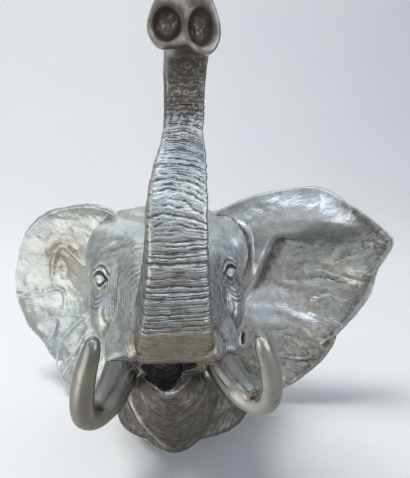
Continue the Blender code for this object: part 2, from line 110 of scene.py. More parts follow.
def scatter(cells, seed):
    """A repeatable value between -1 and 1 for each whole-numbered cell."""
    x, y, z = (cells[k].astype(np.int64).astype(np.uint32) for k in range(3))
    with np.errstate(over="ignore"):
        mixed = x * np.uint32(374761393) + y * np.uint32(668265263) + z * np.uint32(1274126177)
        mixed = mixed + np.uint32(seed * 362437 + 12345)
        mixed = (mixed ^ (mixed >> np.uint32(13))) * np.uint32(1103515245)
        mixed = (mixed ^ (mixed >> np.uint32(15))) * np.uint32(2246822519)
        mixed = mixed ^ (mixed >> np.uint32(16))
    return mixed.astype(float) / 2 ** 31 - 1.0


def noise(x, y, z=0.0, seed=0):
    """Smooth noise between -1 and 1 whose grains are one unit wide."""
    x, y, z = np.broadcast_arrays(*(np.asarray(v, dtype=float) for v in (x, y, z)))
    base = [np.floor(v) for v in (x, y, z)]
    part = [v - b for v, b in zip((x, y, z), base)]
    part = [p * p * p * (p * (p * 6 - 15) + 10) for p in part]
    total = np.zeros(x.shape)
    for corner in range(8):
        steps = [(corner >> k) & 1 for k in range(3)]
        weight = 1.0
        for p, step in zip(part, steps):
            weight = weight * (p if step else 1 - p)
        total += weight * scatter([b + step for b, step in zip(base, steps)], seed)
    return total


def layered(x, y, z=0.0, seed=0, layers=3):
    total = 0.0
    for k in range(layers):
        total = total + noise(x * 2 ** k, y * 2 ** k, z * 2 ** k, seed + k) * 0.5 ** k
    return total / (2 - 0.5 ** (layers - 1))


def mm(table):
    """Sizes and places of a table that is written in millimetres."""
    return np.round(np.asarray(table, dtype=float) / 1000, 8)


def circle(count):
    return np.linspace(0, 2 * np.pi, count, endpoint=False)


def stack(x, y, z):
    return np.column_stack(np.broadcast_arrays(x, y, z))


def read(items, name, width, kind=float):
    """A row of numbers for each item of a mesh."""
    values = np.empty(len(items) * width, dtype=kind)
    items.foreach_get(name, values)
    return values.reshape(-1, width).astype(float if kind is np.float32 else kind)


# ---- forms, each as points and faces ----
def loft(rings):
    """Skin rings with equal numbers of points, and close both ends."""
    rings = np.asarray(rings, dtype=float)
    rows, count = rings.shape[:2]
    index = np.arange(rows * count).reshape(rows, count)
    after = np.roll(index, -1, axis=1)
    sides = np.stack([index[:-1], after[:-1], after[1:], index[1:]], axis=-1).reshape(-1, 4)
    return rings.reshape(-1, 3), sides.tolist() + [index[0][::-1].tolist(), index[-1].tolist()]


def ellipsoid(centre, radii, tilt=0.0, rings=48, count=72):
    """Ellipsoid turned by tilt degrees about X."""
    down = np.linspace(0.02, np.pi - 0.02, rings)[:, None]
    round_ = circle(count)[None, :]
    ball = np.stack([np.sin(down) * np.cos(round_), np.sin(down) * np.sin(round_),
                     np.cos(down) + 0 * round_], axis=-1) * radii
    c, s = math.cos(math.radians(tilt)), math.sin(math.radians(tilt))
    turn = np.array([[1, 0, 0], [0, c, -s], [0, s, c]])
    return loft(ball @ turn.T + centre)


def tube(line, radius, axis, count, lower_end=0.0):
    """Round tube along a line, which may start a little lower down."""
    tangent = unit(np.gradient(line, axis=0))
    across = unit(np.cross(tangent, axis))
    line[0] -= tangent[0] * lower_end
    angle = circle(count)[None, :, None]
    spoke = np.cos(angle) * across[:, None] + np.sin(angle) * np.cross(across, tangent)[:, None]
    return loft(line[:, None] + radius[:, None, None] * spoke)


def sheet(grid, thickness):
    """Close a rectangular grid of points into a plate of the given thickness."""
    normal = unit(np.cross(np.gradient(grid, axis=0), np.gradient(grid, axis=1)))
    rows, columns = grid.shape[:2]
    points = np.concatenate([(grid + side * normal * thickness / 2).reshape(-1, 3) for side in (1, -1)])
    index = np.arange(rows * columns).reshape(rows, columns)
    quads = np.stack([index[:-1, :-1], index[:-1, 1:], index[1:, 1:], index[1:, :-1]], axis=-1)
    quads = quads.reshape(-1, 4)
    edge = np.concatenate([index[:, 0], index[-1, 1:], index[-2::-1, -1], index[0, -2:0:-1]])
    following = np.roll(edge, -1)
    shift = rows * columns
    rim = np.stack([edge, following, following + shift, edge + shift], axis=-1)
    return points, quads.tolist() + (quads[:, ::-1] + shift).tolist() + rim.tolist()


def join(forms):
    points, faces, start = [], [], 0
    for some_points, some_faces in forms:
        points.append(some_points)
        faces += [[start + k for k in face] for face in some_faces]
        start += len(some_points)
    return np.concatenate(points), faces


def mesh_object(name, points, faces, closed=False):
    """Object of the given points and faces; a closed one gets its faces turned outwards."""
    mesh = bpy.data.meshes.new(name)
    mesh.from_pydata(points.tolist(), [], faces)
    if closed:
        form = bmesh.new()
        form.from_mesh(mesh)
        bmesh.ops.recalc_face_normals(form, faces=form.faces)
        form.to_mesh(mesh)
        form.free()
    mesh.update()
    item = bpy.data.objects.new(name, mesh)
    bpy.context.scene.collection.objects.link(item)
    return item


# ---- trunk ----
# y and z of the trunk's middle line, half width, and depth before and behind the line
TRUNK_LEVELS = mm([(20, 120, 38, 50, 30), (-26, 152, 42.5, 48, 30), (-55, 182, 39.8, 48, 30),
                   (-80, 216, 36, 47, 28), (-98, 250, 30.8, 43, 26), (-110, 283, 27, 39, 25),
                   (-114, 316, 25.2, 34.5, 24), (-106, 346, 22.2, 28, 22), (-97, 374, 17.4, 21.5, 19.5),
                   (-94, 402, 16.8, 19, 18), (-102, 428, 17, 17.5, 18), (-124, 447, 17.2, 16.5, 18.5),
                   (-150, 454.5, 17.6, 16, 19), (-168, 455.5, 18, 15, 19)])
TRUNK_ROUND = 112          # points round the trunk


class Trunk:
    """Middle line of the trunk with its local frames, read at many places."""
    steps = 420
    places = np.linspace(0, 1, steps)
    middle_y, middle_z, half, front, back = spline(TRUNK_LEVELS, places).T
    line = stack(0.0, middle_y, middle_z)
    line[:, 0] = TRUNK_LEAN * ease(line[:, 2], 0.3, 0.4)
    line[:, 0] -= TIP_RETURN * ease(places, 0.84, 1.0)
    tangent = unit(np.gradient(line, axis=0))
    forward = unit(np.cross(np.array([1.0, 0.0, 0.0]), tangent))
    forward *= -np.sign(forward[:1, 1:2])
    run = np.concatenate([[0], np.cumsum(np.linalg.norm(np.diff(line, axis=0), axis=1))])


def trunk_section(half_width, front, back, flatness):
    """Ring of (side, forward) pairs: flat towards the front, round at the back."""
    angle = circle(TRUNK_ROUND)
    side, forward = np.cos(angle), np.sin(angle)
    power = np.where(forward > 0, 2.0 / (2.0 + 6.5 * flatness), 1.0)
    side = np.sign(side) * np.abs(side) ** power
    depth = np.sign(forward) * np.abs(forward) ** power
    ridge = TRUNK_RIDGE * flatness * (bump(np.abs(side), 0.93, 0.1) - 0.55 * bump(side, 0, 0.6))
    depth = depth * np.where(forward > 0, front, back)
    depth = depth + np.where(forward > 0.3, ridge, 0.0)
    return side * half_width, depth


def trunk_form():
    rings = []
    for k, place in enumerate(Trunk.places):
        flatness = 0.85 - 0.7 * float(ease(place, 0.8, 0.92))
        side, forward = trunk_section(Trunk.half[k], Trunk.front[k], Trunk.back[k], flatness)
        rings.append(Trunk.line[k] + np.outer(side, (1.0, 0.0, 0.0)) + np.outer(forward, Trunk.forward[k]))
    return loft(rings)


# Outline of the trunk's tip as (x, z) from its middle: two lobes below, with a notch between them.
TIP_MIDDLE = (0.0052, 0.45)
TIP_OUTLINE = mm([(0, 28.8), (13, 26.2), (20.5, 15), (25.4, 1), (25, -9.5), (19, -18), (11, -18),
                  (2, -13), (-8, -13.8), (-16.5, -14.8), (-23, -9), (-25.4, 1), (-20.5, 15), (-13, 26.2),
                  (0, 28.8)])
# y of a slice through the tip, and its share of the outline's size
TIP_SLICES = [(-0.128, 0.5), (-0.138, 0.66), (-0.146, 0.86), (-0.153, 0.97), (-0.16, 1.0),
              (-0.1655, 0.985), (-0.1678, 0.955), (-0.1688, 0.9)]


def tip_form():
    """Flared end of the trunk, with a crisp lip all round."""
    outline = spline(TIP_OUTLINE, np.linspace(0, 1, 145)[:-1])
    rings = []
    for y, share in spline(TIP_SLICES, np.linspace(0, 1, 60)):
        rings.append(stack(TIP_MIDDLE[0] + share * outline[:, 0], y, TIP_MIDDLE[1] + share * outline[:, 1]))
    return loft(rings)


# ---- skull, face, neck and jaw ----
EYES = {-1: mm((-77.8, -11.5, 213.5)), 1: mm((72, -15, 215))}
# z, then y and half width at front, cheek, eye and side, then back y
FACE_LEVELS = mm([
    (132, -66, 33, -52, 52, -22, 66, 20, 74, 150),
    (150, -78, 35, -48, 58, -16, 74, 20, 84, 156),
    (172, -83, 35, -36, 64, -12, 80, 24, 91, 158),
    (196, -84, 33, -30, 62, -9, 84, 28, 94, 157),
    (220, -78, 30, -26, 59, -7, 83, 34, 93, 152),
    (242, -60, 30, -16, 56, 8, 78, 44, 88, 143),
    (260, -32, 30, 2, 54, 26, 69, 54, 78, 130),
    (273, 4, 26, 24, 44, 42, 55, 60, 60, 108),
])


def level_ring(z, front_y, front_half, cheek_y, cheek_half, eye_y, eye_half, side_y, side_half, back_y,
               count=128):
    """Horizontal slice of the head, the same on both sides."""
    half = [(0.0, front_y), (front_half, front_y + 0.002), (cheek_half, cheek_y), (eye_half, eye_y),
            (side_half, side_y), (side_half * 0.86, (side_y + 2 * back_y) / 3), (0.0, back_y)]
    right = spline(half, np.linspace(0, 1, count // 2 + 1))
    outline = np.vstack([right, right[-2:0:-1] * (-1, 1)])
    return stack(outline[:, 0], outline[:, 1], z)


def skull_forms():
    table = spline(FACE_LEVELS, np.linspace(0, 1, 80))
    forms = [loft([level_ring(*row) for row in table])]
    for side in (-1, 1):
        forms += [
            ellipsoid((0.006 + side * 0.03, 0.072, 0.204), (0.06, 0.08, 0.0745)),
            ellipsoid((side * 0.07 + 0.004, 0.044, 0.222), (0.031, 0.04, 0.046)),
            ellipsoid((side * 0.05, 0.02, 0.23), (0.034, 0.032, 0.02), tilt=-20),
            ellipsoid((side * 0.066, 0.006, 0.172), (0.027, 0.044, 0.042), tilt=18)]
    forms.append(ellipsoid((0.005, 0.076, 0.205), (0.06, 0.08, 0.0745)))
    return forms


# x, centre y, centre z, half depth and half height of the swelling across the trunk's foot
LIP_SWELL = mm([(0, -69, 163, 30, 20.5), (20, -69, 163, 30, 20.5), (36, -68.8, 162.5, 29, 19.5),
                (46, -68, 159, 24.5, 16), (53, -67, 155.5, 16.5, 11), (57.5, -66.5, 153, 5, 3.5)])
LIP_TILT = 0.07            # how much lower the swelling hangs on the left, for each metre sideways


def lip_form(count=72):
    """Bar of flesh that widens the trunk's foot towards both tusks."""
    angle = circle(count)
    half = spline(LIP_SWELL, np.linspace(0, 1, 50))
    rings = []
    for x, y, z, depth, height in np.vstack([half[::-1] * (-1, 1, 1, 1, 1), half[1:]]):
        rings.append(stack(x, y + depth * np.cos(angle), z - LIP_TILT * x + height * np.sin(angle)))
    return loft(rings)


# middle and radii of the flesh beside the mouth's corners
MOUTH_CORNERS = mm([((31, -48, 132), (10.5, 23, 17)), ((-41, -49, 132), (7.5, 21, 16))])


def socket_forms():
    """Sheaths of skin that run down to where the tusks come out."""
    forms = [lip_form()]
    for side in (-1, 1):
        line = spline(mm([(side * 30, 10, 178), (side * 40, -22, 162), (side * 46.5, -50, 149),
                          (side * 51.5, -73.5, 137.5)]), np.linspace(0, 1, 40))
        radius = spline(mm([31, 31.5, 27.5, 20.8]), np.linspace(0, 1, 40))[:, 0]
        forms.append(tube(line, radius, (0, 0, 1), 56))
    return forms + [ellipsoid(*corner) for corner in MOUTH_CORNERS]


# z, centre x, centre y, half width, half depth of the neck
NECK_LEVELS = [
    (-0.012, NECK_BASE[0], NECK_BASE[1], NECK_BASE_RADII[0] + 0.001, NECK_BASE_RADII[1] + 0.002),
    (0.0, NECK_BASE[0], NECK_BASE[1], *NECK_BASE_RADII),
    (0.028, 0.018, 0.064, 0.0855, 0.087),
    (0.056, 0.012, 0.063, 0.078, 0.084),
    (0.086, 0.006, 0.062, 0.0745, 0.084),
    (0.116, 0.002, 0.064, 0.076, 0.086),
    (0.15, 0.0, 0.069, 0.079, 0.088),
    (0.19, 0.002, 0.072, 0.074, 0.08),
]
# z, centre x, centre y, half width, half depth of the throat's bulge
THROAT_LEVELS = [
    (-0.012, 0.004, THROAT_Y, THROAT_RADII[0], THROAT_RADII[1] + 0.001),
    (0.0, 0.004, THROAT_Y, *THROAT_RADII),
    (0.022, 0.003, 0.004, 0.05, 0.053),
    (0.048, 0.0, -0.004, 0.0575, 0.057),
    (0.074, -0.003, -0.012, 0.057, 0.058),
    (0.094, -0.004, -0.018, 0.049, 0.057),
    (0.108, -0.005, -0.018, 0.04, 0.055),
    (0.12, -0.005, -0.01, 0.032, 0.044),
]


def column_form(levels, squareness, fold_height, fold_pitch, fold_sag):
    """Upright column whose front carries hanging folds of loose skin."""
    table = spline(levels, np.linspace(0, 1, 100))
    angle = circle(144)
    side, forward = np.cos(angle), np.sin(angle)
    reach = np.abs(side) ** squareness + np.abs(forward) ** squareness
    side, forward = side / reach ** (1 / squareness), forward / reach ** (1 / squareness)
    front = ease(-forward, -0.3, 0.8)
    rings = []
    for z, x, y, half, depth in table:
        fold = fold_height * np.sin(2 * math.pi * (z - fold_sag * side ** 2) / fold_pitch) * front
        rings.append(stack(x + (half + fold) * side, y + (depth + fold) * forward, z))
    return loft(rings)


def neck_form():
    return column_form(NECK_LEVELS, 2.6, 0.0018, 0.024, 0.012)


def throat_forms():
    forms = [column_form(THROAT_LEVELS, 1.8, 0.0006, 0.019, 0.03)]
    for side in (-1, 1):
        forms.append(ellipsoid((side * 0.044 - 0.004, -0.028, 0.11), (0.011, 0.032, 0.02), tilt=-8))
    return forms


# ---- ears ----
EDGE_AT_PLUS_X = mm([(62, 58, 272), (103, 47, 291), (148, 36, 304), (190, 24, 306), (226, 14, 287),
                     (264, 4, 260), (281, 0, 238), (267, 3, 206), (259, 6, 172), (238, 11, 133),
                     (222.5, 15, 114), (219, 16, 98), (206, 19, 75), (176, 27, 42), (148, 36, 22),
                     (104, 48, 18)])
EDGE_AT_MINUS_X = mm([(-48, 50, 268), (-80, 62, 283), (-122, 90, 278), (-160, 120, 261), (-190, 142, 229),
                      (-207, 155, 186), (-215, 160, 150), (-212, 158, 118), (-191, 143, 78),
                      (-166, 122, 56), (-156, 108, 40), (-141, 92, 20), (-118, 76, 12), (-86, 62, 20)])
ROOT_AT_PLUS_X = mm([(60, 66, 262), (82, 58, 200), (78, 58, 120), (82, 58, 40)])
ROOT_AT_MINUS_X = mm([(-46, 66, 258), (-80, 58, 200), (-72, 62, 120), (-60, 66, 40)])


# The wide ear's raised part ends on a line that climbs the front fold and then runs under the roll.
FOLD_FOOT = (0.11, 0.154)
FOLD_TOP = (0.142, 0.241)
ROLL_RISE = 0.115
EAR_ACROSS = 100           # rows of points from an ear's root to its edge
EAR_ALONG = 180


def fold_places(x, z):
    """How far a place on the wide ear lies beyond the front fold, and above the foot of the roll."""
    slope = (FOLD_TOP[0] - FOLD_FOOT[0]) / (FOLD_TOP[1] - FOLD_FOOT[1])
    return x - FOLD_FOOT[0] - slope * (z - FOLD_FOOT[1]), z - FOLD_TOP[1] - ROLL_RISE * (x - FOLD_TOP[0])


def relief_at_plus_x(s, t, x, z):
    """Forward swell of the wide ear: rolled upper edge, front fold, deep cup, shelf and lower lobe."""
    beyond_fold, above_roll = fold_places(x, z)
    fold = (1 - ease(beyond_fold, -0.011, 0.005)) * ease(z, 0.145, 0.185)
    softer = 1 + 2.2 * ease(x, 0.155, 0.215)
    roll = ease(above_roll / softer, -0.008, 0.01) * (1 - ease(x, 0.205, 0.262))
    raised = 1 - (1 - fold) * (1 - roll)
    to_top = np.interp(x, EDGE_AT_PLUS_X[:6, 0], EDGE_AT_PLUS_X[:6, 2]) - z
    swell = 0.017 * raised * ease(to_top, -0.004, 0.04) * ease(s, 0.0, 0.08)
    deep = np.clip((t - 0.16) / 0.84, 0, 1)
    cup = -0.027 * np.sin(np.pi * np.clip(s * 1.02, 0, 1)) ** 0.7 * np.sin(np.pi * deep) ** 0.7
    shelf = 0.018 * ease(t, 0.48, 0.68) * (1 - ease(t, 0.8, 1.0)) * np.sin(np.pi * s) ** 0.7
    groove = -0.005 * bump(beyond_fold, 0.008, 0.0085) * window(z, 0.15, 0.175, 0.225, 0.245)
    return cup * (1 - 0.8 * raised) + swell + shelf + groove


def relief_at_minus_x(s, t, *_):
    """Forward swell of the swept ear: peaked fold in the upper half, cup, ribs at the bottom."""
    cup = -0.02 * np.sin(np.pi * np.clip(s, 0, 1)) ** 0.8 * np.sin(np.pi * t) ** 0.6
    fold = 0.009 * bump(t, 0.28, 0.14) * bump(s, 0.5, 0.36)
    hollow = -0.004 * bump(t, 0.44, 0.13) * bump(s, 0.38, 0.26)
    ribs = 0.0022 * np.sin(2 * np.pi * t * 9) * ease(t, 0.5, 0.65) * ease(s, 0.2, 0.8)
    return cup + fold + hollow + ribs


def ear_grid(edge, root, relief):
    across = np.linspace(0, 1, EAR_ACROSS)
    along = np.linspace(0, 1, EAR_ALONG)
    outer = spline(edge, along)
    inner = spline(root, along)
    grid = inner[None] + (outer - inner)[None] * across[:, None, None]
    s, t = np.meshgrid(across, along, indexing="ij")
    outward = outer[len(outer) // 2] - inner[len(inner) // 2]
    forward = unit(np.cross(outward, [0.0, 0.0, 1.0]) * np.sign(outward[0]))
    return grid + relief(s, t, grid[..., 0], grid[..., 2])[..., None] * forward


def ear_forms():
    return [sheet(ear_grid(EDGE_AT_PLUS_X, ROOT_AT_PLUS_X, relief_at_plus_x), EAR_THICKNESS),
            sheet(ear_grid(EDGE_AT_MINUS_X, ROOT_AT_MINUS_X, relief_at_minus_x), EAR_THICKNESS)]


# ---- tusks ----
TUSK_LINE = mm([(38, -30, 156), (45.5, -52, 143), (53.5, -75, 131), (64, -98, 120.5),
                (76.2, -118.5, 117.5), (83.8, -135.5, 128), (83.8, -149, 151), (78.5, -159, 178),
                (70, -168, 204), (65.5, -171.5, 215.5)])
TIP_SHIFT = {-1: (0.0035, 0.0, 0.0075), 1: (-0.0015, 0.0, -0.001)}   # the two differ slightly
ROOT_SHIFT = {-1: (0.008, 0.0, 0.0), 1: (0.0, 0.0, 0.0)}


def tusk_sweep(side, steps):
    """Middle line and radius of a tusk at even places along it."""
    places = np.linspace(0, 1, steps)
    line = spline(TUSK_LINE, places)
    line = line + np.outer(places ** 3, TIP_SHIFT[side]) + np.outer((1 - places) ** 3, ROOT_SHIFT[side])
    line = line * (side, 1, 1)
    radius = spline(TUSK_RADII, places)[:, 0]
    return line, radius, places


def tusk_form(side, extra):
    """Round tusk that is a little thicker, and starts as much lower, than the real one."""
    line, radius, places = tusk_sweep(side, 120)
    radius = radius * np.sqrt(np.clip(1 - np.clip((places - 0.965) / 0.036, 0, 1) ** 2, 0, 1))
    return tube(line, radius + extra, (1, 0, 0), 64, lower_end=extra)


def tusk_balls(side):
    """The same tusk as balls strung along its line, which stay sound in the sharp bend."""
    line, radius, _ = tusk_sweep(side, 260)
    travelled = np.concatenate([[0], np.cumsum(np.linalg.norm(np.diff(line, axis=0), axis=1))])
    last = travelled[-1] - radius[-1] * 0.9
    kept = (travelled > radius[0]) & (travelled < last)
    return join([ellipsoid(line[k], [radius[k]] * 3, rings=18, count=28) for k in np.where(kept)[0]])


# ---- cutters ----
def mouth_form():
    """Wedge of hollow under the trunk's foot: wide at the top, narrow at the lower lip."""
    rings = []
    for y in np.linspace(-0.112, -0.022, 30):
        open_part = float(ease(y, -0.022, -0.056))
        half = MOUTH_HALF_WIDTH * (0.36 + 0.64 * open_part)
        top = MOUTH_TOP_Z - 0.01 * (1 - open_part)
        low = LIP_Z + 0.1 * (y + 0.075) + 0.014 * (1 - open_part)
        rise = top - low
        outline = [(-half, low + 0.8 * rise), (-half * 0.94, top - 0.002), (-half * 0.75, top),
                   (half * 0.85, top), (half * 1.1, top - 0.003), (half * 1.08, low + 0.68 * rise),
                   (half * 0.54, low + 0.24 * rise), (-half * 0.15, low), (-half * 0.62, low + 0.24 * rise),
                   (-half, low + 0.8 * rise)]
        ring = spline(outline, np.linspace(0, 1, 97)[:-1])
        rings.append(stack(ring[:, 0] + MOUTH_X, y, ring[:, 1] - LIP_TILT * ring[:, 0]))
    return loft(rings)


def mouth_floor_form():
    return ellipsoid((MOUTH_X - 0.002, -0.046, 0.115), (0.0225, 0.021, 0.015))


# x, z, half width and half height of each nostril
NOSTRILS = mm([(-6.8, 450, 9.8, 10.8), (16.3, 448.5, 8.8, 12.6)])


def nostril_forms():
    """Two shallow pits, each inside a wider dish that rounds its rim."""
    forms = []
    for x, z, width, height in NOSTRILS:
        forms.append(ellipsoid((x, -0.17, z), (width, 0.0105, height), tilt=-6))
        forms.append(ellipsoid((x + 0.15 * (x - TIP_MIDDLE[0]), -0.1745, z - 0.0012),
                               (1.3 * width, 0.0098, 1.26 * height)))
    return forms


def box_form(low, high):
    corners = np.array([[(low, high)[(k >> a) & 1][a] for a in range(3)] for k in range(8)], dtype=float)
    return corners, [[0, 2, 3, 1], [4, 5, 7, 6], [0, 1, 5, 4], [2, 6, 7, 3], [0, 4, 6, 2], [1, 3, 7, 5]]


# ---- modifiers as plain steps ----
def settle(item):
    """Replace an object's mesh with what its modifiers make of it."""
    bpy.context.view_layer.update()
    graph = bpy.context.evaluated_depsgraph_get()
    mesh = bpy.data.meshes.new_from_object(item.evaluated_get(graph))
    old = item.data
    item.modifiers.clear()
    item.data = mesh
    bpy.data.meshes.remove(old)


def modify(item, kind, **settings):
    modifier = item.modifiers.new(kind.lower(), kind)
    for key, value in settings.items():
        setattr(modifier, key, value)


def remesh(item, size):
    modify(item, "REMESH", mode="VOXEL", voxel_size=size)


def soften(item, passes):
    modify(item, "SMOOTH", factor=0.5, iterations=passes)


def carve(item, form):
    """Take a closed form out of the object."""
    cutter = mesh_object("cutter", *form, closed=True)
    modify(item, "BOOLEAN", operation="DIFFERENCE", solver="MANIFOLD", object=cutter)
    settle(item)
    bpy.data.objects.remove(cutter, do_unlink=True)


def fused_skin():
    """All the head's forms as one closed skin of even grain, with mouth and nostrils open."""
    forms = [trunk_form(), tip_form()] + skull_forms() + socket_forms()
    forms += [neck_form()] + throat_forms() + ear_forms()
    skin = mesh_object("head_skin", *join(forms))
    remesh(skin, VOXEL)
    settle(skin)
    for form in [mouth_form(), mouth_floor_form()] + nostril_forms():
        carve(skin, form)
    remesh(skin, VOXEL)
    soften(skin, SOFTEN_PASSES)
    settle(skin)
    return skin


# ---- the skin as arrays ----
TRUNK, TIP, PLUS_EAR, MINUS_EAR = range(4)     # forms on which a point's place is looked up
TIP_BACK = -0.14          # y before which, and z above which, all skin of the trunk is its tip
TIP_FOOT = 0.428


class Skin:
    """The skin's points, and where each of them lies on the trunk and the ears."""

    def __init__(self, item):
        self.mesh = item.data
        self.mesh.update()
        self.points = read(self.mesh.vertices, "co", 3)
        self.edges = read(self.mesh.edges, "vertices", 2, np.int64)
        self.degree = np.bincount(self.edges.ravel(), minlength=len(self.points)).astype(float)
        self.read_normals()
        self.find_parts()

    def read_normals(self):
        self.normals = read(self.mesh.vertex_normals, "vector", 3, np.float32)

    def noise(self, scale, seed, layers=1):
        """Noise with so many grains to the metre, the same or not along X, Y and Z."""
        return layered(*(self.points * scale).T, seed, layers)

    def ear_noise(self, scale, seed, layers=3):
        """The same along X, Z and Y, the way the ears spread."""
        return layered(*(self.points[:, (0, 2, 1)] * scale).T, seed, layers)

    def spread(self, values, passes):
        """Values averaged over neighbours, several times."""
        a, b = self.edges.T
        values = np.asarray(values, dtype=float)
        columns = values.reshape(len(values), -1)
        for _ in range(passes):
            total = np.empty_like(columns)
            for k in range(columns.shape[1]):
                total[:, k] = (np.bincount(a, columns[b, k], len(values))
                               + np.bincount(b, columns[a, k], len(values)))
            columns = 0.5 * columns + 0.5 * total / self.degree[:, None]
        return columns.reshape(values.shape)

    def nearest_forms(self):
        """For each point, which form lies nearest to it, and which of that form's points."""
        body = skull_forms() + socket_forms()[1:] + throat_forms() + [neck_form()]
        forms = [trunk_form()[0], tip_form()[0]] + [form[0] for form in ear_forms()]
        forms.append(np.concatenate([form[0] for form in body]))
        points = np.concatenate(forms)
        starts = np.cumsum([0] + [len(form) for form in forms[:-1]])
        tree = KDTree(len(points))
        for k, point in enumerate(points):
            tree.insert(point, k)
        tree.balance()
        nearest = np.array([tree.find(point)[1] for point in self.points])
        which = np.searchsorted(starts, nearest, side="right") - 1
        return which, nearest - starts[which]

    def find_parts(self):
        """How far each point belongs to trunk, tip and ears, and its place on them."""
        which, local = self.nearest_forms()
        far_out = (self.points[:, 1] < TIP_BACK) & (self.points[:, 2] > TIP_FOOT)
        which[(which == TRUNK) & far_out] = TIP
        ring = np.where(which == TIP, Trunk.steps - 1, np.clip(local // TRUNK_ROUND, 0, Trunk.steps - 1))
        self.trunk = self.spread(which <= TIP, 3)
        self.tip = self.spread(which == TIP, 4)
        reach = self.points - Trunk.line[ring]
        self.side = reach[:, 0] / Trunk.half[ring]
        self.forward = (reach * Trunk.forward[ring]).sum(axis=1) / Trunk.front[ring]
        along = (reach * Trunk.tangent[ring]).sum(axis=1)
        self.height = Trunk.line[ring, 2] + along * Trunk.tangent[ring, 2]
        self.run = Trunk.run[ring] + along
        self.plus_ear = self.spread(which == PLUS_EAR, 3)
        self.minus_ear = self.spread(which == MINUS_EAR, 3)
        on_ear = (which == PLUS_EAR) | (which == MINUS_EAR)
        cell = np.where(on_ear, local % (EAR_ACROSS * EAR_ALONG), 0)
        self.ear_s = self.spread((cell // EAR_ALONG) / (EAR_ACROSS - 1), 2)
        self.ear_t = self.spread((cell % EAR_ALONG) / (EAR_ALONG - 1), 2)

    def move(self, shift):
        self.points = self.points + shift
        self.mesh.vertices.foreach_set("co", self.points.ravel())
        self.mesh.update()
        self.read_normals()

    def push(self, rise):
        """Move the points along the skin's normals."""
        self.move(self.normals * rise[:, None])

    def blend(self, amount, passes):
        """Round the points' shape where amount is 1, and leave it where amount is 0."""
        self.move((self.spread(self.points, passes) - self.points) * amount[:, None])

    def hollowness(self, passes):
        """How far each point lies below its surroundings, in metres."""
        return ((self.spread(self.points, passes) - self.points) * self.normals).sum(axis=1)


# ---- relief of the trunk ----
DEEP_RINGS = [0.222, 0.2395, 0.26, 0.282]     # heights of the deepest grooves
RING_PITCH = 0.009
LINE_PITCH = 0.0037
HAIR_PITCH = 0.0022


def grooves(level, pitch, depth, width, low, high, seed):
    """Grooves about one pitch apart between two levels, each with its own depth and place."""
    total = np.zeros(level.shape)
    for k in range(int((high - low) / pitch) + 1):
        cell = [np.array([float(k)])] * 3
        centre = low + pitch * (k + 0.28 * scatter(cell, seed)[0])
        own_depth = depth * (1 + 0.45 * scatter(cell, seed + 1)[0])
        near = np.abs(level - centre) < 4 * width
        total[near] -= own_depth * bump(level[near], centre, width)
    return total


def trunk_level(skin, wobble):
    """Height of the curves that the rings follow, arched where the trunk is narrow."""
    arch = 0.005 * window(skin.height, 0.285, 0.32, 0.37, 0.39)
    return skin.height - arch * (1 - skin.side ** 2) + wobble


def trunk_rings(h, u, level):
    """Deep rings across the trunk, with finer and finer lines between them."""
    broken = np.clip(0.7 + 0.55 * noise(u * 2.2, h * 120, seed=3), 0.25, 1.2)
    rings = grooves(level, RING_PITCH, 0.0011, 0.001, 0.226, 0.388, 11) * broken
    for centre in DEEP_RINGS:
        rings -= 0.0017 * bump(level, centre, 0.001) * (1 - 0.35 * np.abs(noise(u * 2, 0, seed=4)))
    lines = grooves(level, LINE_PITCH, 0.00075, 0.00062, 0.216, 0.392, 21)
    lines = lines * np.clip(0.75 + 0.9 * noise(u * 2.6, h * 240, seed=5), 0.0, 1.5)
    level = level + 0.0004 * noise(u * 7, h * 300, seed=12)
    hairs = grooves(level, HAIR_PITCH, 0.0003, 0.00048, 0.216, 0.398, 22)
    hairs = hairs * np.clip(0.7 + 1.1 * noise(u * 4.0, h * 330, seed=13), 0.0, 1.6)
    return (rings + lines + hairs) * window(h, 0.214, 0.223, 0.38, 0.396)


def crinkles(h, u, level):
    """Crinkled skin near the tip, with a few lines below it."""
    bent_u = u + 0.3 * noise(h * 190, u * 2.5, seed=16) + 0.15 * noise(h * 420, u * 6.0, seed=17)
    bent_h = h + 0.0022 * noise(u * 4.0, h * 160, seed=18)
    crinkle = 0.0009 * (np.abs(noise(bent_u * 3.2, bent_h * 230, seed=6)) - 0.35)
    crinkle += 0.0007 * (np.abs(noise(bent_u * 6.5, bent_h * 480, seed=7)) - 0.35)
    crinkle = crinkle * window(h, 0.372, 0.392, 0.445, 0.45) * (1 - ease(np.abs(u), 0.72, 0.85))
    lines = grooves(level, 0.005, 0.0007, 0.0008, 0.38, 0.415, 23)
    return crinkle + lines * window(h, 0.375, 0.385, 0.4, 0.415)


def trunk_foot(h, u):
    """The flat field at the trunk's foot, rougher towards its edges."""
    foot = 0.00016 * noise(u * 1.2, h * 420, seed=8) + 0.00014 * noise(u * 5.0, h * 520, seed=9)
    return foot * window(h, 0.12, 0.15, 0.214, 0.224) * (1 + 1.6 * ease(np.abs(u), 0.3, 0.85))


def trunk_relief(skin):
    """Rings, crinkles and foot of the trunk, strongest on its front, and notches along its edges."""
    h, u = skin.height, skin.side
    facing = ease(skin.forward, 0.1, 0.55)
    wobble = 0.0011 * noise(u * 1.3, h * 55, seed=1) + 0.0005 * noise(u * 4.0, h * 160, seed=2)
    level = trunk_level(skin, wobble)
    side = 0.22 + 0.78 * facing * (1 - 0.6 * ease(np.abs(u), 0.8, 1.0))
    relief = trunk_rings(h, u, level) * side + crinkles(h, u, level) * facing + trunk_foot(h, u) * facing
    notches = 0.0005 * noise(u * 2, h * 210, seed=10) * bump(np.abs(u), 1.0, 0.16)
    relief += notches * window(h, 0.15, 0.2, 0.38, 0.4)
    return relief * ease(skin.trunk - skin.tip, 0.2, 0.9)


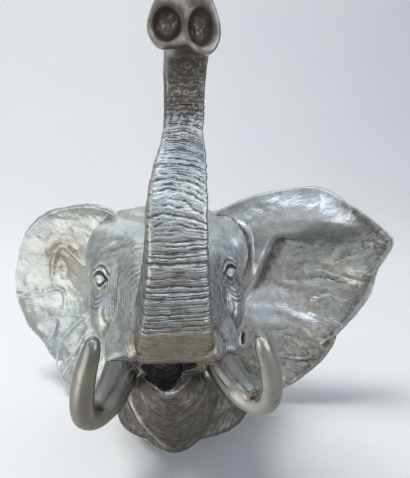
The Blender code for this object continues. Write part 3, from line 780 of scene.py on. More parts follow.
def nostril_places(skin):
    """Distance of each point from each nostril's middle, in that nostril's radii."""
    x, _, z = skin.points.T
    return [np.hypot((x - middle_x) / width, (z - middle_z) / height)
            for middle_x, middle_z, width, height in NOSTRILS]


def tip_relief(skin):
    """Grainy floors of the nostrils, and a lip that is a little uneven."""
    z = skin.points[:, 2]
    total = np.zeros(len(z))
    for reach in nostril_places(skin):
        total += (1 - ease(reach, 0.6, 0.95)) * 0.0006 * skin.noise(520, 14)
    lip = 0.0006 * skin.noise(130, 15) * bump(z, 0.434, 0.006)
    return (total + lip) * ease(skin.tip, 0.3, 0.9) * ease(-skin.normals[:, 1], -0.3, 0.2)


# ---- relief of the face ----
ARCH_CENTRE = (0.024, 0.205)       # side and height of the point that the root's wrinkles circle
ARCH_RADII = (0.033, 0.05)
STRIA_PITCH = 0.08                # in parts of those radii


def off_parts(skin):
    """1 on head, neck and throat, 0 on trunk and ears."""
    return 1 - np.clip(skin.trunk + skin.plus_ear + skin.minus_ear, 0, 1)


def face_places(skin):
    """Distance from the arches' middle in arch radii, and how strongly the skin is lined there."""
    x, y, z = skin.points.T
    side = np.abs(x) - ARCH_CENTRE[0]
    rise = np.maximum(z - ARCH_CENTRE[1], 0) / ARCH_RADII[1]
    reach = np.sqrt((side / ARCH_RADII[0]) ** 2 + rise ** 2)
    reach = reach + 0.05 * skin.noise((60, 60, 25), 31, 3)
    amount = window(reach, 0.05, 0.25, 1.15, 1.5) * window(z, 0.138, 0.15, 0.262, 0.275)
    return reach, amount * (1 - ease(y, 0.0, 0.03)) * off_parts(skin)


def face_relief(skin):
    """Wrinkles that circle the trunk's root and run down the cheeks as fine upright lines."""
    x, y, z = skin.points.T
    reach, amount = face_places(skin)
    wave = np.sin(2 * np.pi * reach / STRIA_PITCH)
    uneven = np.clip(0.75 + 0.6 * skin.noise((90, 90, 60), 33), 0.1, 1.4)
    arcs = ease(z, 0.196, 0.214)
    relief = (0.0001 + 0.00016 * arcs) * wave * amount * uneven
    cross = 0.00012 * skin.noise((160, 160, 520), 34) * window(z, 0.14, 0.15, 0.2, 0.215)
    relief += cross * amount
    dome_lines = np.sin(2 * np.pi * (np.hypot(x * 1.1, y - 0.03) + 0.5 * z) / 0.0052)
    dome = window(z, 0.235, 0.255, 0.3, 0.31) * window(y, -0.02, 0.01, 0.13, 0.16)
    relief += 0.00016 * dome_lines * dome * np.clip(0.4 + skin.noise(70, 35), 0, 1)
    return relief * off_parts(skin)


def strokes(table):
    """Width, height and line of each stroke, from millimetres."""
    return [(mm(width), mm(height), mm(line)) for width, height, line in table]


def stroke(points, line, width, normals=None):
    """Ridge of height 1 along a smooth line, narrower at its ends; normals lay the line on the skin."""
    line = np.asarray(line, dtype=float)
    line = spline(line, np.linspace(0, 1, 6 * (len(line) - 1) + 1))
    margin = 3 * width + (0.0 if normals is None else 0.014)
    near = np.ones(len(points), dtype=bool)
    for k in range(points.shape[1]):
        near &= (points[:, k] > line[:, k].min() - margin) & (points[:, k] < line[:, k].max() + margin)
    some = points[near]
    best = np.full(len(some), 1e9)
    place = np.zeros(len(some))
    for k, (start, end) in enumerate(zip(line, line[1:])):
        way = end - start
        along = np.clip((some - start) @ way / (way @ way), 0, 1)
        gap = some - start - along[:, None] * way
        if normals is not None:
            height = np.clip((gap * normals[near]).sum(axis=1), -0.01, 0.01)
            gap = gap - height[:, None] * normals[near]
        distance = np.linalg.norm(gap, axis=1)
        closer = distance < best
        best[closer] = distance[closer]
        place[closer] = (k + along[closer]) / (len(line) - 1)
    total = np.zeros(len(points))
    total[near] = bump(best, 0.0, width) * np.sin(np.pi * np.clip(place, 0.0, 1.0)) ** 0.5
    return total


def drawn(table, points, normals=None):
    """Relief of all strokes of a table."""
    total = np.zeros(len(points))
    for width, height, line in table:
        total += height * stroke(points, line, width, normals)
    return total


# Lines on both sides of the face as (x, y, z), given for the head's left: width, height, places.
FACE_STROKES = strokes([
    (7, -3, [(36, -34, 258), (50.7, -15, 254.6), (68.1, -3, 248), (81, 1, 240)]),
    (4.5, -1.6, [(56, -27, 236), (57, -30, 220), (59, -32, 206)]),
    (3, 1.4, [(52, -27, 240.5), (55, -34, 220), (56.5, -39, 200), (66, -43.5, 179), (72, -66, 161)]),
    (2.2, 1.1, [(66.8, 51, 269), (81, 36, 260), (90, 30, 247), (93, 28, 228), (91.5, 20, 204)]),
    (2.2, -0.9, [(70, -32, 196), (74, -36, 184), (74, -46, 172)]),
])
# Lines of one side only: the wide ear's start, the throat's front fold with its crease, the lower lip.
LONE_STROKES = strokes([
    (2.2, 1.6, [(67, 51, 269), (92, 41, 261), (105, 35, 251), (110, 37, 232), (110, 38, 198),
                (103, 39, 183)]),
    (4.2, 2.2, [(-50, -36, 95), (-45, -45, 75), (-38, -47, 56), (-29, -45, 37), (-18, -42, 18),
                (-4, -43, 9)]),
    (2.8, -4.6, [(-56, -30, 97), (-52, -37, 75), (-45.5, -41, 56), (-36.5, -41, 36), (-27, -40, 16),
                 (-14, -41, 2)]),
    (1.2, 0.8, [(-38, -52, 120), (-25.9, -62, 110), (-10, -72, 104), (0.3, -74, 104), (18.2, -60, 110),
                (30, -52, 122)]),
])


def eye_frame(side):
    """Middle of an eye on the skin, its outward direction, and its forward and upward directions."""
    outward = unit(np.array([side * 0.56, -0.82, 0.1]))
    ahead = unit(np.cross([0.0, 0.0, 1.0], outward)) * side
    upward = np.cross(ahead, outward) * side
    return EYES[side], outward, ahead, unit(upward * np.sign(upward[2]))


def eye_places(skin, side):
    """Forward and upward distance from the eye's middle, in eye sizes, and a mask around it."""
    centre, outward, ahead, upward = eye_frame(side)
    reach = skin.points - centre
    mask = (np.linalg.norm(reach, axis=1) < 0.04) & (skin.normals @ outward > 0.1)
    return reach @ ahead / EYE_SIZE, reach @ upward / EYE_SIZE, mask


def eye_relief(skin):
    """Eyeballs between two lids, a deep crease over each eye and hanging folds under it."""
    total = np.zeros(len(skin.points))
    for side in (-1, 1):
        a, b, mask = eye_places(skin, side)
        along = np.clip(np.abs(a), 0, 1.15)
        upper = 0.84 - 0.62 * along ** 2
        lower = -0.58 + 0.78 * along ** 1.7
        inside = ease(b - lower, -0.05, 0.25) * ease(upper - b, -0.05, 0.25)
        ball = 0.0017 * inside * (1 - 0.5 * np.clip(a ** 2 + (b - 0.1) ** 2, 0, 1))
        reach = ease(1.3 - np.abs(a), 0.0, 0.3)
        crease = -0.0027 * bump(b, upper + 0.05, 0.17) * reach
        seam = -0.0015 * bump(b, lower - 0.04, 0.15) * reach
        lids = 0.0012 * (bump(b, upper + 0.42, 0.22) + 0.8 * bump(b, lower - 0.36, 0.18)) * reach
        over = -0.0012 * bump(b, upper + 0.86, 0.16) * ease(1.6 - np.abs(a), 0.0, 0.4)
        socket = -0.0022 * bump(np.hypot(a, b - 0.1), 0, 1.75)
        bag = np.hypot(a - 0.25, (b + 0.6) * 0.8)
        under = sum(bump(bag, radius, 0.13) for radius in (1.25, 1.65, 2.05)) * ease(-b, 1.1, 1.6)
        under = -0.001 * under * (1 - ease(np.abs(a - 0.25), 0.9, 1.5))
        total[mask] += (ball + crease + seam + lids + over + under + socket)[mask]
    return total


def stroke_relief(skin):
    """Lines of both sides of the face, then those of one side only, which are kept for the painted shade
    and highlight along them.
    """
    total = np.zeros(len(skin.points))
    for side in (-1, 1):
        total += drawn(FACE_STROKES, skin.points * (side, 1, 1), skin.normals * (side, 1, 1))
    total = total * off_parts(skin)
    skin.lone = [stroke(skin.points, line, width, skin.normals) for width, _, line in LONE_STROKES]
    for (_, height, _), raised in zip(LONE_STROKES, skin.lone):
        total += height * raised
    return total


# ---- relief of throat and neck ----
def throat_places(skin):
    """Height of the hanging creases' curves, and how strongly the skin is creased there."""
    x, y, z = skin.points.T
    low = ease(0.125 - z, 0.0, 0.02) * (1 - ease(y, 0.02, 0.075))
    sag = 2.8 + 24 * np.clip(0.11 - z, 0, 0.1)
    level = z - sag * np.abs(x + 0.004) ** 1.5 + 0.0012 * skin.noise(45, 41, 3)
    return level, low * off_parts(skin)


def throat_relief(skin):
    """Creases that hang in curves under the lip and open out down the throat and neck."""
    x, y, z = skin.points.T
    level, low = throat_places(skin)
    wave = np.abs(np.sin(np.pi * level / 0.004)) ** 0.7
    broad = np.sin(2 * np.pi * level / 0.017)
    uneven = np.clip(0.8 + 0.5 * skin.noise(60, 42), 0.2, 1.4)
    band = 1 - np.clip(1.2 * skin.lone[1], 0, 1)
    relief = (0.00055 * (wave - 0.7) * uneven * band + 0.00018 * broad) * low
    turned = np.sin(2 * np.pi * (z * 0.75 - np.abs(x) * 0.9 - y * 0.35) / 0.01)
    neck = (1 - low) * window(z, -0.02, 0.0, 0.15, 0.2) * ease(y, -0.02, 0.05)
    relief += 0.0004 * turned * neck * np.clip(0.5 + skin.noise(30, 43), 0, 1)
    relief += 0.0004 * skin.noise((40, 40, 28), 44, 3) * ease(0.13 - z, 0, 0.03)
    return relief * off_parts(skin)


# ---- relief of the ears ----
# Raised lines on the ears' fronts as (x, z): width, height, places.
PLUS_EAR_STROKES = strokes([
    (2, 1.4, [(223, 206), (233, 211), (247, 218)]),
    (2.2, 1.6, [(186, 187), (208, 192), (229, 187), (254, 184)]),
    (2.4, 1.8, [(192, 152), (205, 155), (217, 163)]),
    (2, 1.7, [(155, 75), (182, 74), (196, 84)]),
    (2, 1.7, [(203, 96), (213, 108), (226, 116)]),
    (6, 2.2, [(112, 136), (145, 138), (175, 130), (200, 118)]),
    (5, 1.6, [(150, 176), (175, 170), (205, 172)]),
    (6.5, 1.8, [(196, 232), (222, 226), (250, 232)]),
    (3.2, -1.4, [(186, 179), (210, 183), (245, 176)]),
    (1.8, -4, [(104.5, 105), (103.5, 96), (102.5, 87)]),
])
MINUS_EAR_STROKES = strokes([
    (4.2, 4.2, [(-160, 205), (-147, 214), (-133, 223), (-118, 213), (-104, 197)]),
    (3.6, 2.6, [(-133, 223), (-150, 199), (-158, 165)]),
    (7.5, -3.6, [(-138, 206), (-136, 186), (-140, 168)]),
    (3.4, 2.4, [(-176, 142), (-151, 153), (-141, 145), (-142, 114)]),
    (3, 2.6, [(-142, 114), (-124, 116), (-109, 124), (-98, 138)]),
    (3, 2.2, [(-151, 73), (-125, 104), (-105, 122)]),
    (2.8, 2.2, [(-147, 30), (-123, 74), (-106, 102)]),
    (2.6, 1.8, [(-167, 67), (-154, 103)]),
    (2.6, 1.8, [(-157, 38), (-151, 73)]),
    (3.4, 2.2, [(-107, 153), (-91, 114)]),
    (6, -2.6, [(-128, 134), (-115, 140), (-105, 155)]),
])


def ear_relief(skin):
    """Folds and veins on the ears' fronts, and a beaten, slightly rippled surface all over them."""
    x, y, z = skin.points.T
    s, t = skin.ear_s, skin.ear_t
    flat = np.column_stack([x, z])
    facing = ease(-skin.normals[:, 1], 0.0, 0.35)
    plus, minus = drawn(PLUS_EAR_STROKES, flat), drawn(MINUS_EAR_STROKES, flat)
    beaten = 0.0006 * skin.ear_noise(45, 51, 2)
    drift = 0.05 * skin.ear_noise(30, 56)
    dents = 0.0011 * layered(x * 26 + 2 * drift, z * 30, y * 26, seed=57)
    veins = 0.0009 * noise(s * 3.5 + 3 * drift, (t + drift) * 26, seed=52) * ease(s, 0.12, 0.45)
    veins += 0.0004 * noise(s * 7 + 3 * drift, (t + drift) * 60, seed=58) * ease(s, 0.2, 0.5)
    veins = veins * (1 - 0.6 * ease(fold_places(x, z)[1], -0.005, 0.012))
    plus = plus * facing + 0.8 * beaten + dents + veins
    mottle = 0.0005 * noise(x * 120 + 3 * z, z * 90, y * 60, seed=53)
    drift = 0.06 * skin.ear_noise(22, 55)
    rays = 0.0007 * noise(s * 5 + 2 * drift, (t + drift) * 55, seed=54) * ease(s, 0.1, 0.4)
    minus = minus * facing + beaten + mottle * facing + rays
    return plus * skin.plus_ear + minus * skin.minus_ear


def cast_relief(skin):
    """The unevenness that a sand mould leaves everywhere but on the polished tip."""
    coarse = 0.00035 * skin.noise(80, 61, 3)
    fine = 0.00012 * skin.noise(420, 62)
    tip = ease(skin.run, 0.375, 0.4) * skin.trunk
    return (coarse + fine) * (1 - 0.8 * tip)


# ---- making the pieces ----
def thin_out(item, triangles):
    """Fewer triangles where the skin is plain and out of the way, more where it is carved."""
    mesh = item.data
    mesh.calc_loop_triangles()
    x, y, _ = read(mesh.vertices, "co", 3).T
    away = ease(read(mesh.vertex_normals, "vector", 3, np.float32)[:, 1], 0.0, 0.6)
    plain = np.maximum(away, ease(y, 0.03, 0.1) * (1 - ease(np.abs(x), 0.09, 0.11)))
    group = item.vertex_groups.new(name="plain")
    for level in range(9):
        chosen = np.where(np.round(plain * 8) == level)[0]
        group.add(chosen.tolist(), (level + 2) / 10, "REPLACE")
    modify(item, "DECIMATE", ratio=min(triangles / len(mesh.loop_triangles), 1.0),
           use_collapse_triangulate=True, vertex_group=group.name, vertex_group_factor=PLAIN_WEIGHT)
    settle(item)
    item.vertex_groups.clear()


def set_attribute(mesh, name, values):
    attribute = mesh.attributes.new(name, "FLOAT", "POINT")
    attribute.data.foreach_set("value", np.ascontiguousarray(values, dtype=np.float32))


def wide_ear_dirt_and_light(skin):
    """Dirt and painted light on the wide ear: painted highlight on the rolled edge and the shelf, painted
    shade in the groove and on the lower lobe, darker towards the outer top, dirt in the middle and along
    the rim.
    """
    x, _, z = skin.points.T
    rim = ease(skin.ear_s, 0.86, 0.98)
    beyond_fold, above_roll = fold_places(x, z)
    # Painted highlight: less dirt on the rolled upper edge, which faces the light.
    roll_highlight = ease(above_roll, -0.004, 0.01) * (1 - ease(x, 0.195, 0.235))
    # Painted highlight: less dirt on the shelf, which faces the light.
    shelf = bump(np.hypot((x - 0.128) / 0.05, (z - 0.145) / 0.028), 0, 1)
    # Painted shade in the groove beside the front fold.
    groove = window(skin.ear_t, 0.3, 0.36, 0.5, 0.58) * bump(beyond_fold, 0.009, 0.008)
    outer = ease(x, 0.185, 0.235) * ease(z, 0.205, 0.24)
    # Painted shade on the lower lobe, which faces down; plain dirt in the middle and at the rim; darker
    # towards the outer top.
    return skin.plus_ear * (0.12 + 0.16 * outer + 0.2 * rim + 0.16 * ease(0.125 - z, 0, 0.03)
                            + 0.35 * groove - 0.13 * roll_highlight - 0.26 * shelf)


def trunk_dirt_and_shade(skin):
    """Dirt and painted shade on the trunk: brown patina with painted shade on the front high up, where it
    leans forward and mirrors the dark floor; painted shade on the front's middle band and on the sides;
    dirt in scratches at the foot and along the edges.
    """
    h, trunk = skin.height, skin.trunk * (1 - skin.tip)
    facing = ease(skin.forward, 0.2, 0.6)
    scratches = np.clip(noise(skin.side * 3.0, h * 620, seed=93), 0, 1)
    # Brown patina with painted shade on the front high up, where it mirrors the dark floor; painted shade
    # on the middle band, which faces down; dirt in the foot's scratches.
    front = (0.58 * window(h, 0.372, 0.392, 0.446, 0.45) + 0.24 * window(h, 0.2, 0.24, 0.285, 0.3)
             + 0.02 * window(h, 0.12, 0.15, 0.212, 0.225)
             + 0.4 * scratches * window(h, 0.135, 0.15, 0.205, 0.22))
    # Painted shade on the trunk's sides.
    sides = 0.3 * window(h, 0.15, 0.2, 0.43, 0.44)
    edges = 0.45 * bump(np.abs(skin.side), 0.97, 0.06) * window(h, 0.14, 0.19, 0.42, 0.44)
    return trunk * (facing * front + (1 - facing) * sides + edges)


def tip_dirt_and_shade(skin):
    """A clean lower lip, dark rims round the nostrils as painted shade, and grains on their floors."""
    dirt_and_shade = 0.4 - 0.38 * bump(skin.points[:, 2], 0.4335, 0.006)
    grains = 0.28 * skin.noise(950, 94) + 0.1 * skin.noise(520, 14)
    for reach in nostril_places(skin):
        floor = 1 - ease(reach, 0.55, 0.85)
        # Painted shade: a dark ring at each nostril's rim, where the pit's wall is in shade.
        dirt_and_shade += 0.6 * bump(reach, 0.95, 0.26) + floor * (0.06 - grains)
    return skin.tip * dirt_and_shade


def throat_front(skin):
    _, y, z = skin.points.T
    return ease(0.118 - z, 0.0, 0.015) * (1 - ease(y, 0.03, 0.09))


def face_dirt_and_shade(skin):
    """Dirt and painted shade on the face: darker cheeks with painted shade on the wide ear's side, a darker
    brow band on the head's right, brown patina with painted shade on the throat, painted shade in the
    mouth's corners, and painted shade and highlight along the lines of one side only.
    """
    x, y, z = skin.points.T
    cheeks = window(z, 0.13, 0.14, 0.225, 0.25) * (1 - ease(y, 0.0, 0.05))
    # Painted shade: darker on the wide ear's side, away from the light.
    cheeks *= 0.2 + 0.18 * ease(x, 0.0, 0.04)
    brow = 0.16 * window(z, 0.22, 0.235, 0.255, 0.27) * ease(-x, 0.02, 0.04)
    # Painted shade in the mouth's corners.
    corners = bump(np.abs(x + 0.0045), 0.0345, 0.008) * bump(z, 0.132, 0.01) * ease(-y, 0.03, 0.05)
    _, fold, crease, lower_lip = skin.lone
    # Painted shade in the throat's crease, painted highlight on its fold, which faces the light, and
    # lighter along the lower lip.
    lines = 0.45 * crease - 0.75 * fold - 0.25 * lower_lip
    # Brown patina with painted shade on the throat's front, under the chin.
    return off_parts(skin) * (cheeks + brow + 0.78 * throat_front(skin) + 0.7 * corners + lines)


def eye_shade(skin):
    """Painted shade: a dark line in the crease over each eye and a ring round it, darker on the wide ear's
    side, away from the light.
    """
    total = np.zeros(len(skin.points))
    # Painted shade: the ring is stronger on the wide ear's side, away from the light.
    for side, ring in ((-1, 0.25), (1, 0.6)):
        a, b, mask = eye_places(skin, side)
        along = np.clip(np.abs(a), 0, 1.15)
        lid = bump(b, 0.89 - 0.62 * along ** 2, 0.2) * ease(1.3 - np.abs(a), 0, 0.3)
        total += mask * (0.9 * lid + ring * bump(np.hypot(a, b - 0.1), 0.85, 0.22))
    return total


def mouth_shade(skin):
    x, y, z = skin.points.T
    inside = ((np.abs(x - MOUTH_X) < 0.032) & (z > 0.098) & (z < 0.147) & (y > -0.096) & (y < -0.02)
              & (skin.normals[:, 1] < 0.6))
    # Painted shade inside the mouth's hollow.
    return 0.35 * skin.spread(inside, 3) * ease(y, -0.076, -0.064)


def all_dirt_and_shade(skin, patches):
    """How much dirt and painted shade each point holds, from 0 to 1: more in hollows, less on worn high
    places, plus the parts' own painted shade and highlight.
    """
    fine = np.clip(skin.hollowness(6) / 0.0003, -1, 1)
    broad = np.clip(skin.hollowness(60) / 0.0016, -1, 1)
    depth = 0.55 * np.clip(fine, 0, 1) + 0.3 * np.clip(broad, 0, 1)
    worn = 0.3 * np.clip(-fine, 0, 1) + 0.1 * np.clip(-broad, 0, 1)
    rings = 0.9 * skin.trunk * (1 - skin.tip) * ease(skin.height, 0.205, 0.225)
    dirt_and_shade = 0.06 + 0.14 * patches + depth * (1 - 0.55 * skin.minus_ear + rings)
    dirt_and_shade -= worn * (1 - 0.6 * skin.tip)
    for part_dirt_and_shade in (trunk_dirt_and_shade, tip_dirt_and_shade, face_dirt_and_shade, wide_ear_dirt_and_light, eye_shade, mouth_shade):
        dirt_and_shade += part_dirt_and_shade(skin)
    return np.clip(dirt_and_shade, 0, 1)


def warmth(skin, patches):
    """How warm the metal looks at each point, from 0 to 1."""
    x, _, z = skin.points.T
    h = skin.height
    foot = 0.95 * window(h, 0.14, 0.17, 0.212, 0.235) * ease(skin.forward, 0.2, 0.6)
    warm = 0.15 * patches + skin.trunk * (1 - skin.tip) * (foot + 0.55 * window(h, 0.385, 0.4, 0.5, 0.51))
    warm += 0.4 * off_parts(skin) * throat_front(skin) + 0.75 * skin.tip
    warm += skin.minus_ear * 0.9 * bump(np.hypot(x + 0.133, z - 0.205), 0.0, 0.032)
    warm += skin.plus_ear * 0.5 * (1 - ease(z, 0.2, 0.24)) * patches
    return np.clip(warm, 0, 1)


def line_flow(skin):
    """A number that grows by one from each fine line of the skin to the next, and the lines' strength."""
    h, u = skin.height, skin.side
    trunk = ease(skin.trunk - skin.tip, 0.2, 0.9)
    facing = ease(skin.forward, 0.1, 0.55)
    level = trunk_level(skin, 0.0007 * noise(u * 3, h * 120, seed=91))
    reach, cheek = face_places(skin)
    hanging, low = throat_places(skin)
    ears = skin.plus_ear + skin.minus_ear
    drift = 0.04 * skin.ear_noise(25, 92)
    parts = [(trunk, level / 0.0021, trunk * (0.25 + 0.75 * facing) * window(h, 0.12, 0.16, 0.4, 0.425)),
             (ears, (skin.ear_t + drift) * 75, 0.35 * ears * ease(skin.ear_s, 0.2, 0.5)),
             (cheek, reach / 0.062, 0.8 * cheek), (low, hanging / 0.0029, low)]
    strongest = np.argmax([part[2] for part in parts], axis=0)
    flow = np.choose(strongest, [part[1] for part in parts])
    comb = np.choose(strongest, [part[2] for part in parts])
    a, b = skin.edges.T
    torn = strongest[a] != strongest[b]
    comb[np.concatenate([a[torn], b[torn]])] = 0.0
    return flow, comb


BELOW_TABLE = ((-0.4, -0.4, -0.1), (0.4, 0.4, 0.0))     # the neck is cut flat by this box


def make_head():
    item = fused_skin()
    skin = Skin(item)
    x, y, z = skin.points.T
    lip = (window(z, 0.09, 0.1, 0.15, 0.158) * (1 - ease(np.abs(x - MOUTH_X), 0.036, 0.048))
           * ease(-y, 0.03, 0.045))
    skin.blend(off_parts(skin) * (1 - 0.97 * lip), BLEND_PASSES)
    skin.push(eye_relief(skin) + stroke_relief(skin) + ear_relief(skin))
    skin.push(trunk_relief(skin) + tip_relief(skin) + face_relief(skin) + throat_relief(skin)
              + cast_relief(skin))
    patches = 0.5 + 0.5 * skin.noise(45, 71, 3)
    # Dirt together with the parts' painted shade and highlight.
    set_attribute(item.data, "dirt_and_shade", all_dirt_and_shade(skin, patches))
    set_attribute(item.data, "warmth", warmth(skin, patches))
    flow, comb = line_flow(skin)
    set_attribute(item.data, "flow", flow)
    set_attribute(item.data, "comb", comb)
    carve(item, box_form(*BELOW_TABLE))
    for side in (-1, 1):
        carve(item, tusk_form(side, FIT_GAP))
    thin_out(item, SKIN_TRIANGLES)
    item.data.shade_smooth()
    item.data.set_sharp_from_angle(angle=math.radians(60))
    return item


# Dirt on the front of each tusk, and painted shade behind its bend, where the base sits under the skin.
TUSK_DIRT_AND_SHADE = {-1: (0.42, 0.84), 1: (0.06, 0.74)}
TUSK_VOXEL = 0.0009
TUSK_SOFTEN_PASSES = 50


def make_tusk(name, side):
    item = mesh_object(name, *tusk_balls(side))
    remesh(item, TUSK_VOXEL)
    soften(item, TUSK_SOFTEN_PASSES)
    settle(item)
    points = read(item.data.vertices, "co", 3)
    normals = read(item.data.vertex_normals, "vector", 3, np.float32)
    x, y, z = points.T
    ripple = 0.00025 * layered(x * 90, y * 90, z * 40, seed=81)
    behind_bend = ease(y, -0.128, -0.104)
    streaks = 0.12 * layered(x * 70, y * 70, z * 30, seed=82)
    tip = ease(z, 0.192, 0.208)
    front, back = TUSK_DIRT_AND_SHADE[side]
    # Painted shade behind the bend, where the base sits under the skin; dirt on the front and the tip.
    dirt_and_shade = front + (back - front) * behind_bend + 0.25 * tip + streaks
    set_attribute(item.data, "dirt_and_shade", np.clip(dirt_and_shade, 0, 1))
    points = points + normals * np.minimum(ripple, 0)[:, None]
    item.data.vertices.foreach_set("co", points.ravel())
    item.data.update()
    item.data.shade_smooth()
    return item


# ---- materials ----
class Nodes:
    """A material's node tree, built with one call for each node."""

    def __init__(self, material):
        material.use_nodes = True
        self.tree = material.node_tree
        self.tree.nodes.clear()

    def add(self, kind, settings=None, **inputs):
        node = self.tree.nodes.new("ShaderNode" + kind)
        for key, value in (settings or {}).items():
            setattr(node, key, value)
        for key, value in inputs.items():
            socket = node.inputs[int(key[1:])] if key[1:].isdigit() else node.inputs[key.replace("_", " ")]
            if isinstance(value, bpy.types.NodeSocket):
                self.tree.links.new(value, socket)
            else:
                socket.default_value = value
        return node

    def attribute(self, name):
        return self.add("Attribute", {"attribute_name": name}).outputs["Fac"]

    def grain(self, scale, detail=3.0, stretch=(1, 1, 1), roughness=0.55):
        place = self.add("TexCoord").outputs["Object"]
        place = self.add("Mapping", {}, Vector=place, Scale=stretch).outputs[0]
        noise_node = self.add("TexNoise", {}, Vector=place, Scale=scale, Detail=detail, Roughness=roughness)
        return noise_node.outputs["Fac"]

    def ramp(self, value, low, high, to_low=0.0, to_high=1.0):
        return self.add("MapRange", {"interpolation_type": "SMOOTHSTEP"}, Value=value, From_Min=low,
                        From_Max=high, To_Min=to_low, To_Max=to_high).outputs[0]

    def math(self, operation, a, b):
        return self.add("Math", {"operation": operation}, i0=a, i1=b).outputs[0]

    def mix(self, amount, a, b):
        node = self.add("Mix", {"data_type": "RGBA"}, i0=amount)
        for value, socket in ((a, node.inputs[6]), (b, node.inputs[7])):
            if isinstance(value, bpy.types.NodeSocket):
                self.tree.links.new(value, socket)
            else:
                socket.default_value = (*value, 1.0)
        return node.outputs[2]

    def facing(self, direction, turn, rise):
        """How nearly a direction is the one so many degrees to the head's right and up."""
        turn, rise = math.radians(turn), math.radians(rise)
        axis = (-math.sin(turn) * math.cos(rise), -math.cos(turn) * math.cos(rise), math.sin(rise))
        return self.add("VectorMath", {"operation": "DOT_PRODUCT"}, i0=direction, i1=axis).outputs["Value"]

    def finish(self, colour, metallic, roughness, bumps):
        normal = None
        for height, distance, strength in bumps:
            extra = {} if normal is None else {"Normal": normal}
            normal = self.add("Bump", {}, Height=height, Distance=distance, Strength=strength,
                              **extra).outputs[0]
        shader = self.add("BsdfPrincipled", {}, Base_Color=colour, Metallic=metallic, Roughness=roughness,
                          Normal=normal)
        self.add("OutputMaterial", {}, Surface=shader.outputs[0])


TUSK_METAL = (0.72, 0.705, 0.675)
TUSK_WARM_METAL = (0.68, 0.63, 0.56)
TUSK_DIRT_AND_SHADE_COLOUR = (0.2, 0.195, 0.19)
TUSK_STREAKS = (0.17, 0.145, 0.125)
CLEAN_METAL = (0.74, 0.75, 0.745)
COOL_METAL = (0.6, 0.64, 0.68)
WARM_METAL = (0.62, 0.535, 0.47)
GREY_DIRT_AND_SHADE = (0.165, 0.155, 0.145)
BROWN_DIRT_AND_SHADE = (0.15, 0.115, 0.09)


def cast_metal():
    """Brushed cast aluminium, bright on the high places, with grey and brown dirt in its folds; the same
    dark colours also lay down the painted shade, and less of them the painted highlight.
    """
    material = bpy.data.materials.new("cast_aluminium_skin")
    nodes = Nodes(material)
    dirt_and_shade, warmth = nodes.attribute("dirt_and_shade"), nodes.attribute("warmth")
    clouds = nodes.grain(28, 4)
    mottle = nodes.grain(140, 4)
    speckle = nodes.grain(620, 2)
    scratch = nodes.grain(220, 2, stretch=(1.0, 1.0, 0.12))
    colour = nodes.mix(nodes.ramp(clouds, 0.42, 0.62), CLEAN_METAL, COOL_METAL)
    colour = nodes.mix(nodes.math("MULTIPLY", warmth, nodes.ramp(mottle, 0.3, 0.6, 0.6, 1.0)), colour,
                       WARM_METAL)
    # Dark colours for both dirt and painted shade.
    soil_and_shade = nodes.mix(warmth, GREY_DIRT_AND_SHADE, BROWN_DIRT_AND_SHADE)
    uneven = nodes.ramp(mottle, 0.35, 0.65, -0.12, 0.14)
    spots = nodes.ramp(speckle, 0.58, 0.72, 0.0, 0.22)
    sway = nodes.math("MULTIPLY", nodes.grain(90, 2), 2.2)
    turn = nodes.math("MULTIPLY", nodes.math("ADD", nodes.attribute("flow"), sway), 2 * math.pi)
    comb = nodes.math("MULTIPLY", nodes.attribute("comb"), nodes.ramp(clouds, 0.35, 0.6, 0.35, 1.0))
    lines = nodes.math("MULTIPLY", nodes.ramp(nodes.math("SINE", turn, 0.0), -1.0, 0.6), comb)
    amount = nodes.math("ADD", nodes.math("ADD", dirt_and_shade, uneven), nodes.math("MULTIPLY", spots, dirt_and_shade))
    amount = nodes.math("SUBTRACT", nodes.math("ADD", amount, nodes.math("MULTIPLY", comb, 0.1)),
                        nodes.math("MULTIPLY", lines, 0.27))
    amount = nodes.ramp(amount, 0.05, 1.0)
    colour = nodes.mix(amount, colour, soil_and_shade)
    metallic = nodes.ramp(amount, 0.2, 1.0, 1.0, 0.8)
    roughness = nodes.math("ADD", nodes.ramp(amount, 0.0, 1.0, 0.29, 0.48),
                           nodes.ramp(clouds, 0.3, 0.7, -0.04, 0.06))
    nodes.finish(colour, metallic, roughness,
                 [(lines, 0.0006, 0.6), (mottle, 0.0006, 0.35), (scratch, 0.0002, 0.35),
                  (speckle, 0.00015, 0.3)])
    return material


def tusk_metal():
    """Smooth satin aluminium, a little warmer and darker, with soft rubbed streaks, and a dark colour for
    both dirt and the painted shade behind the bend.
    """
    material = bpy.data.materials.new("tusk_aluminium_satin")
    nodes = Nodes(material)
    clouds = nodes.grain(34, 4)
    streaks = nodes.grain(160, 3, stretch=(1.0, 1.0, 0.25))
    speckle = nodes.grain(700, 2)
    dirt_and_shade = nodes.attribute("dirt_and_shade")
    colour = nodes.mix(nodes.ramp(clouds, 0.4, 0.64), TUSK_METAL, TUSK_WARM_METAL)
    # Dark colour for both dirt and the painted shade behind the bend.
    colour = nodes.mix(dirt_and_shade, colour, TUSK_DIRT_AND_SHADE_COLOUR)
    colour = nodes.mix(nodes.ramp(streaks, 0.56, 0.76, 0.0, 0.6), colour, TUSK_STREAKS)
    roughness = nodes.math("ADD", nodes.ramp(streaks, 0.3, 0.7, 0.2, 0.34),
                           nodes.ramp(clouds, 0.3, 0.7, -0.04, 0.06))
    metallic = nodes.ramp(streaks, 0.56, 0.8, 1.0, 0.8)
    nodes.finish(colour, metallic, roughness, [(streaks, 0.0003, 0.25), (speckle, 0.0001, 0.2)])
    return material


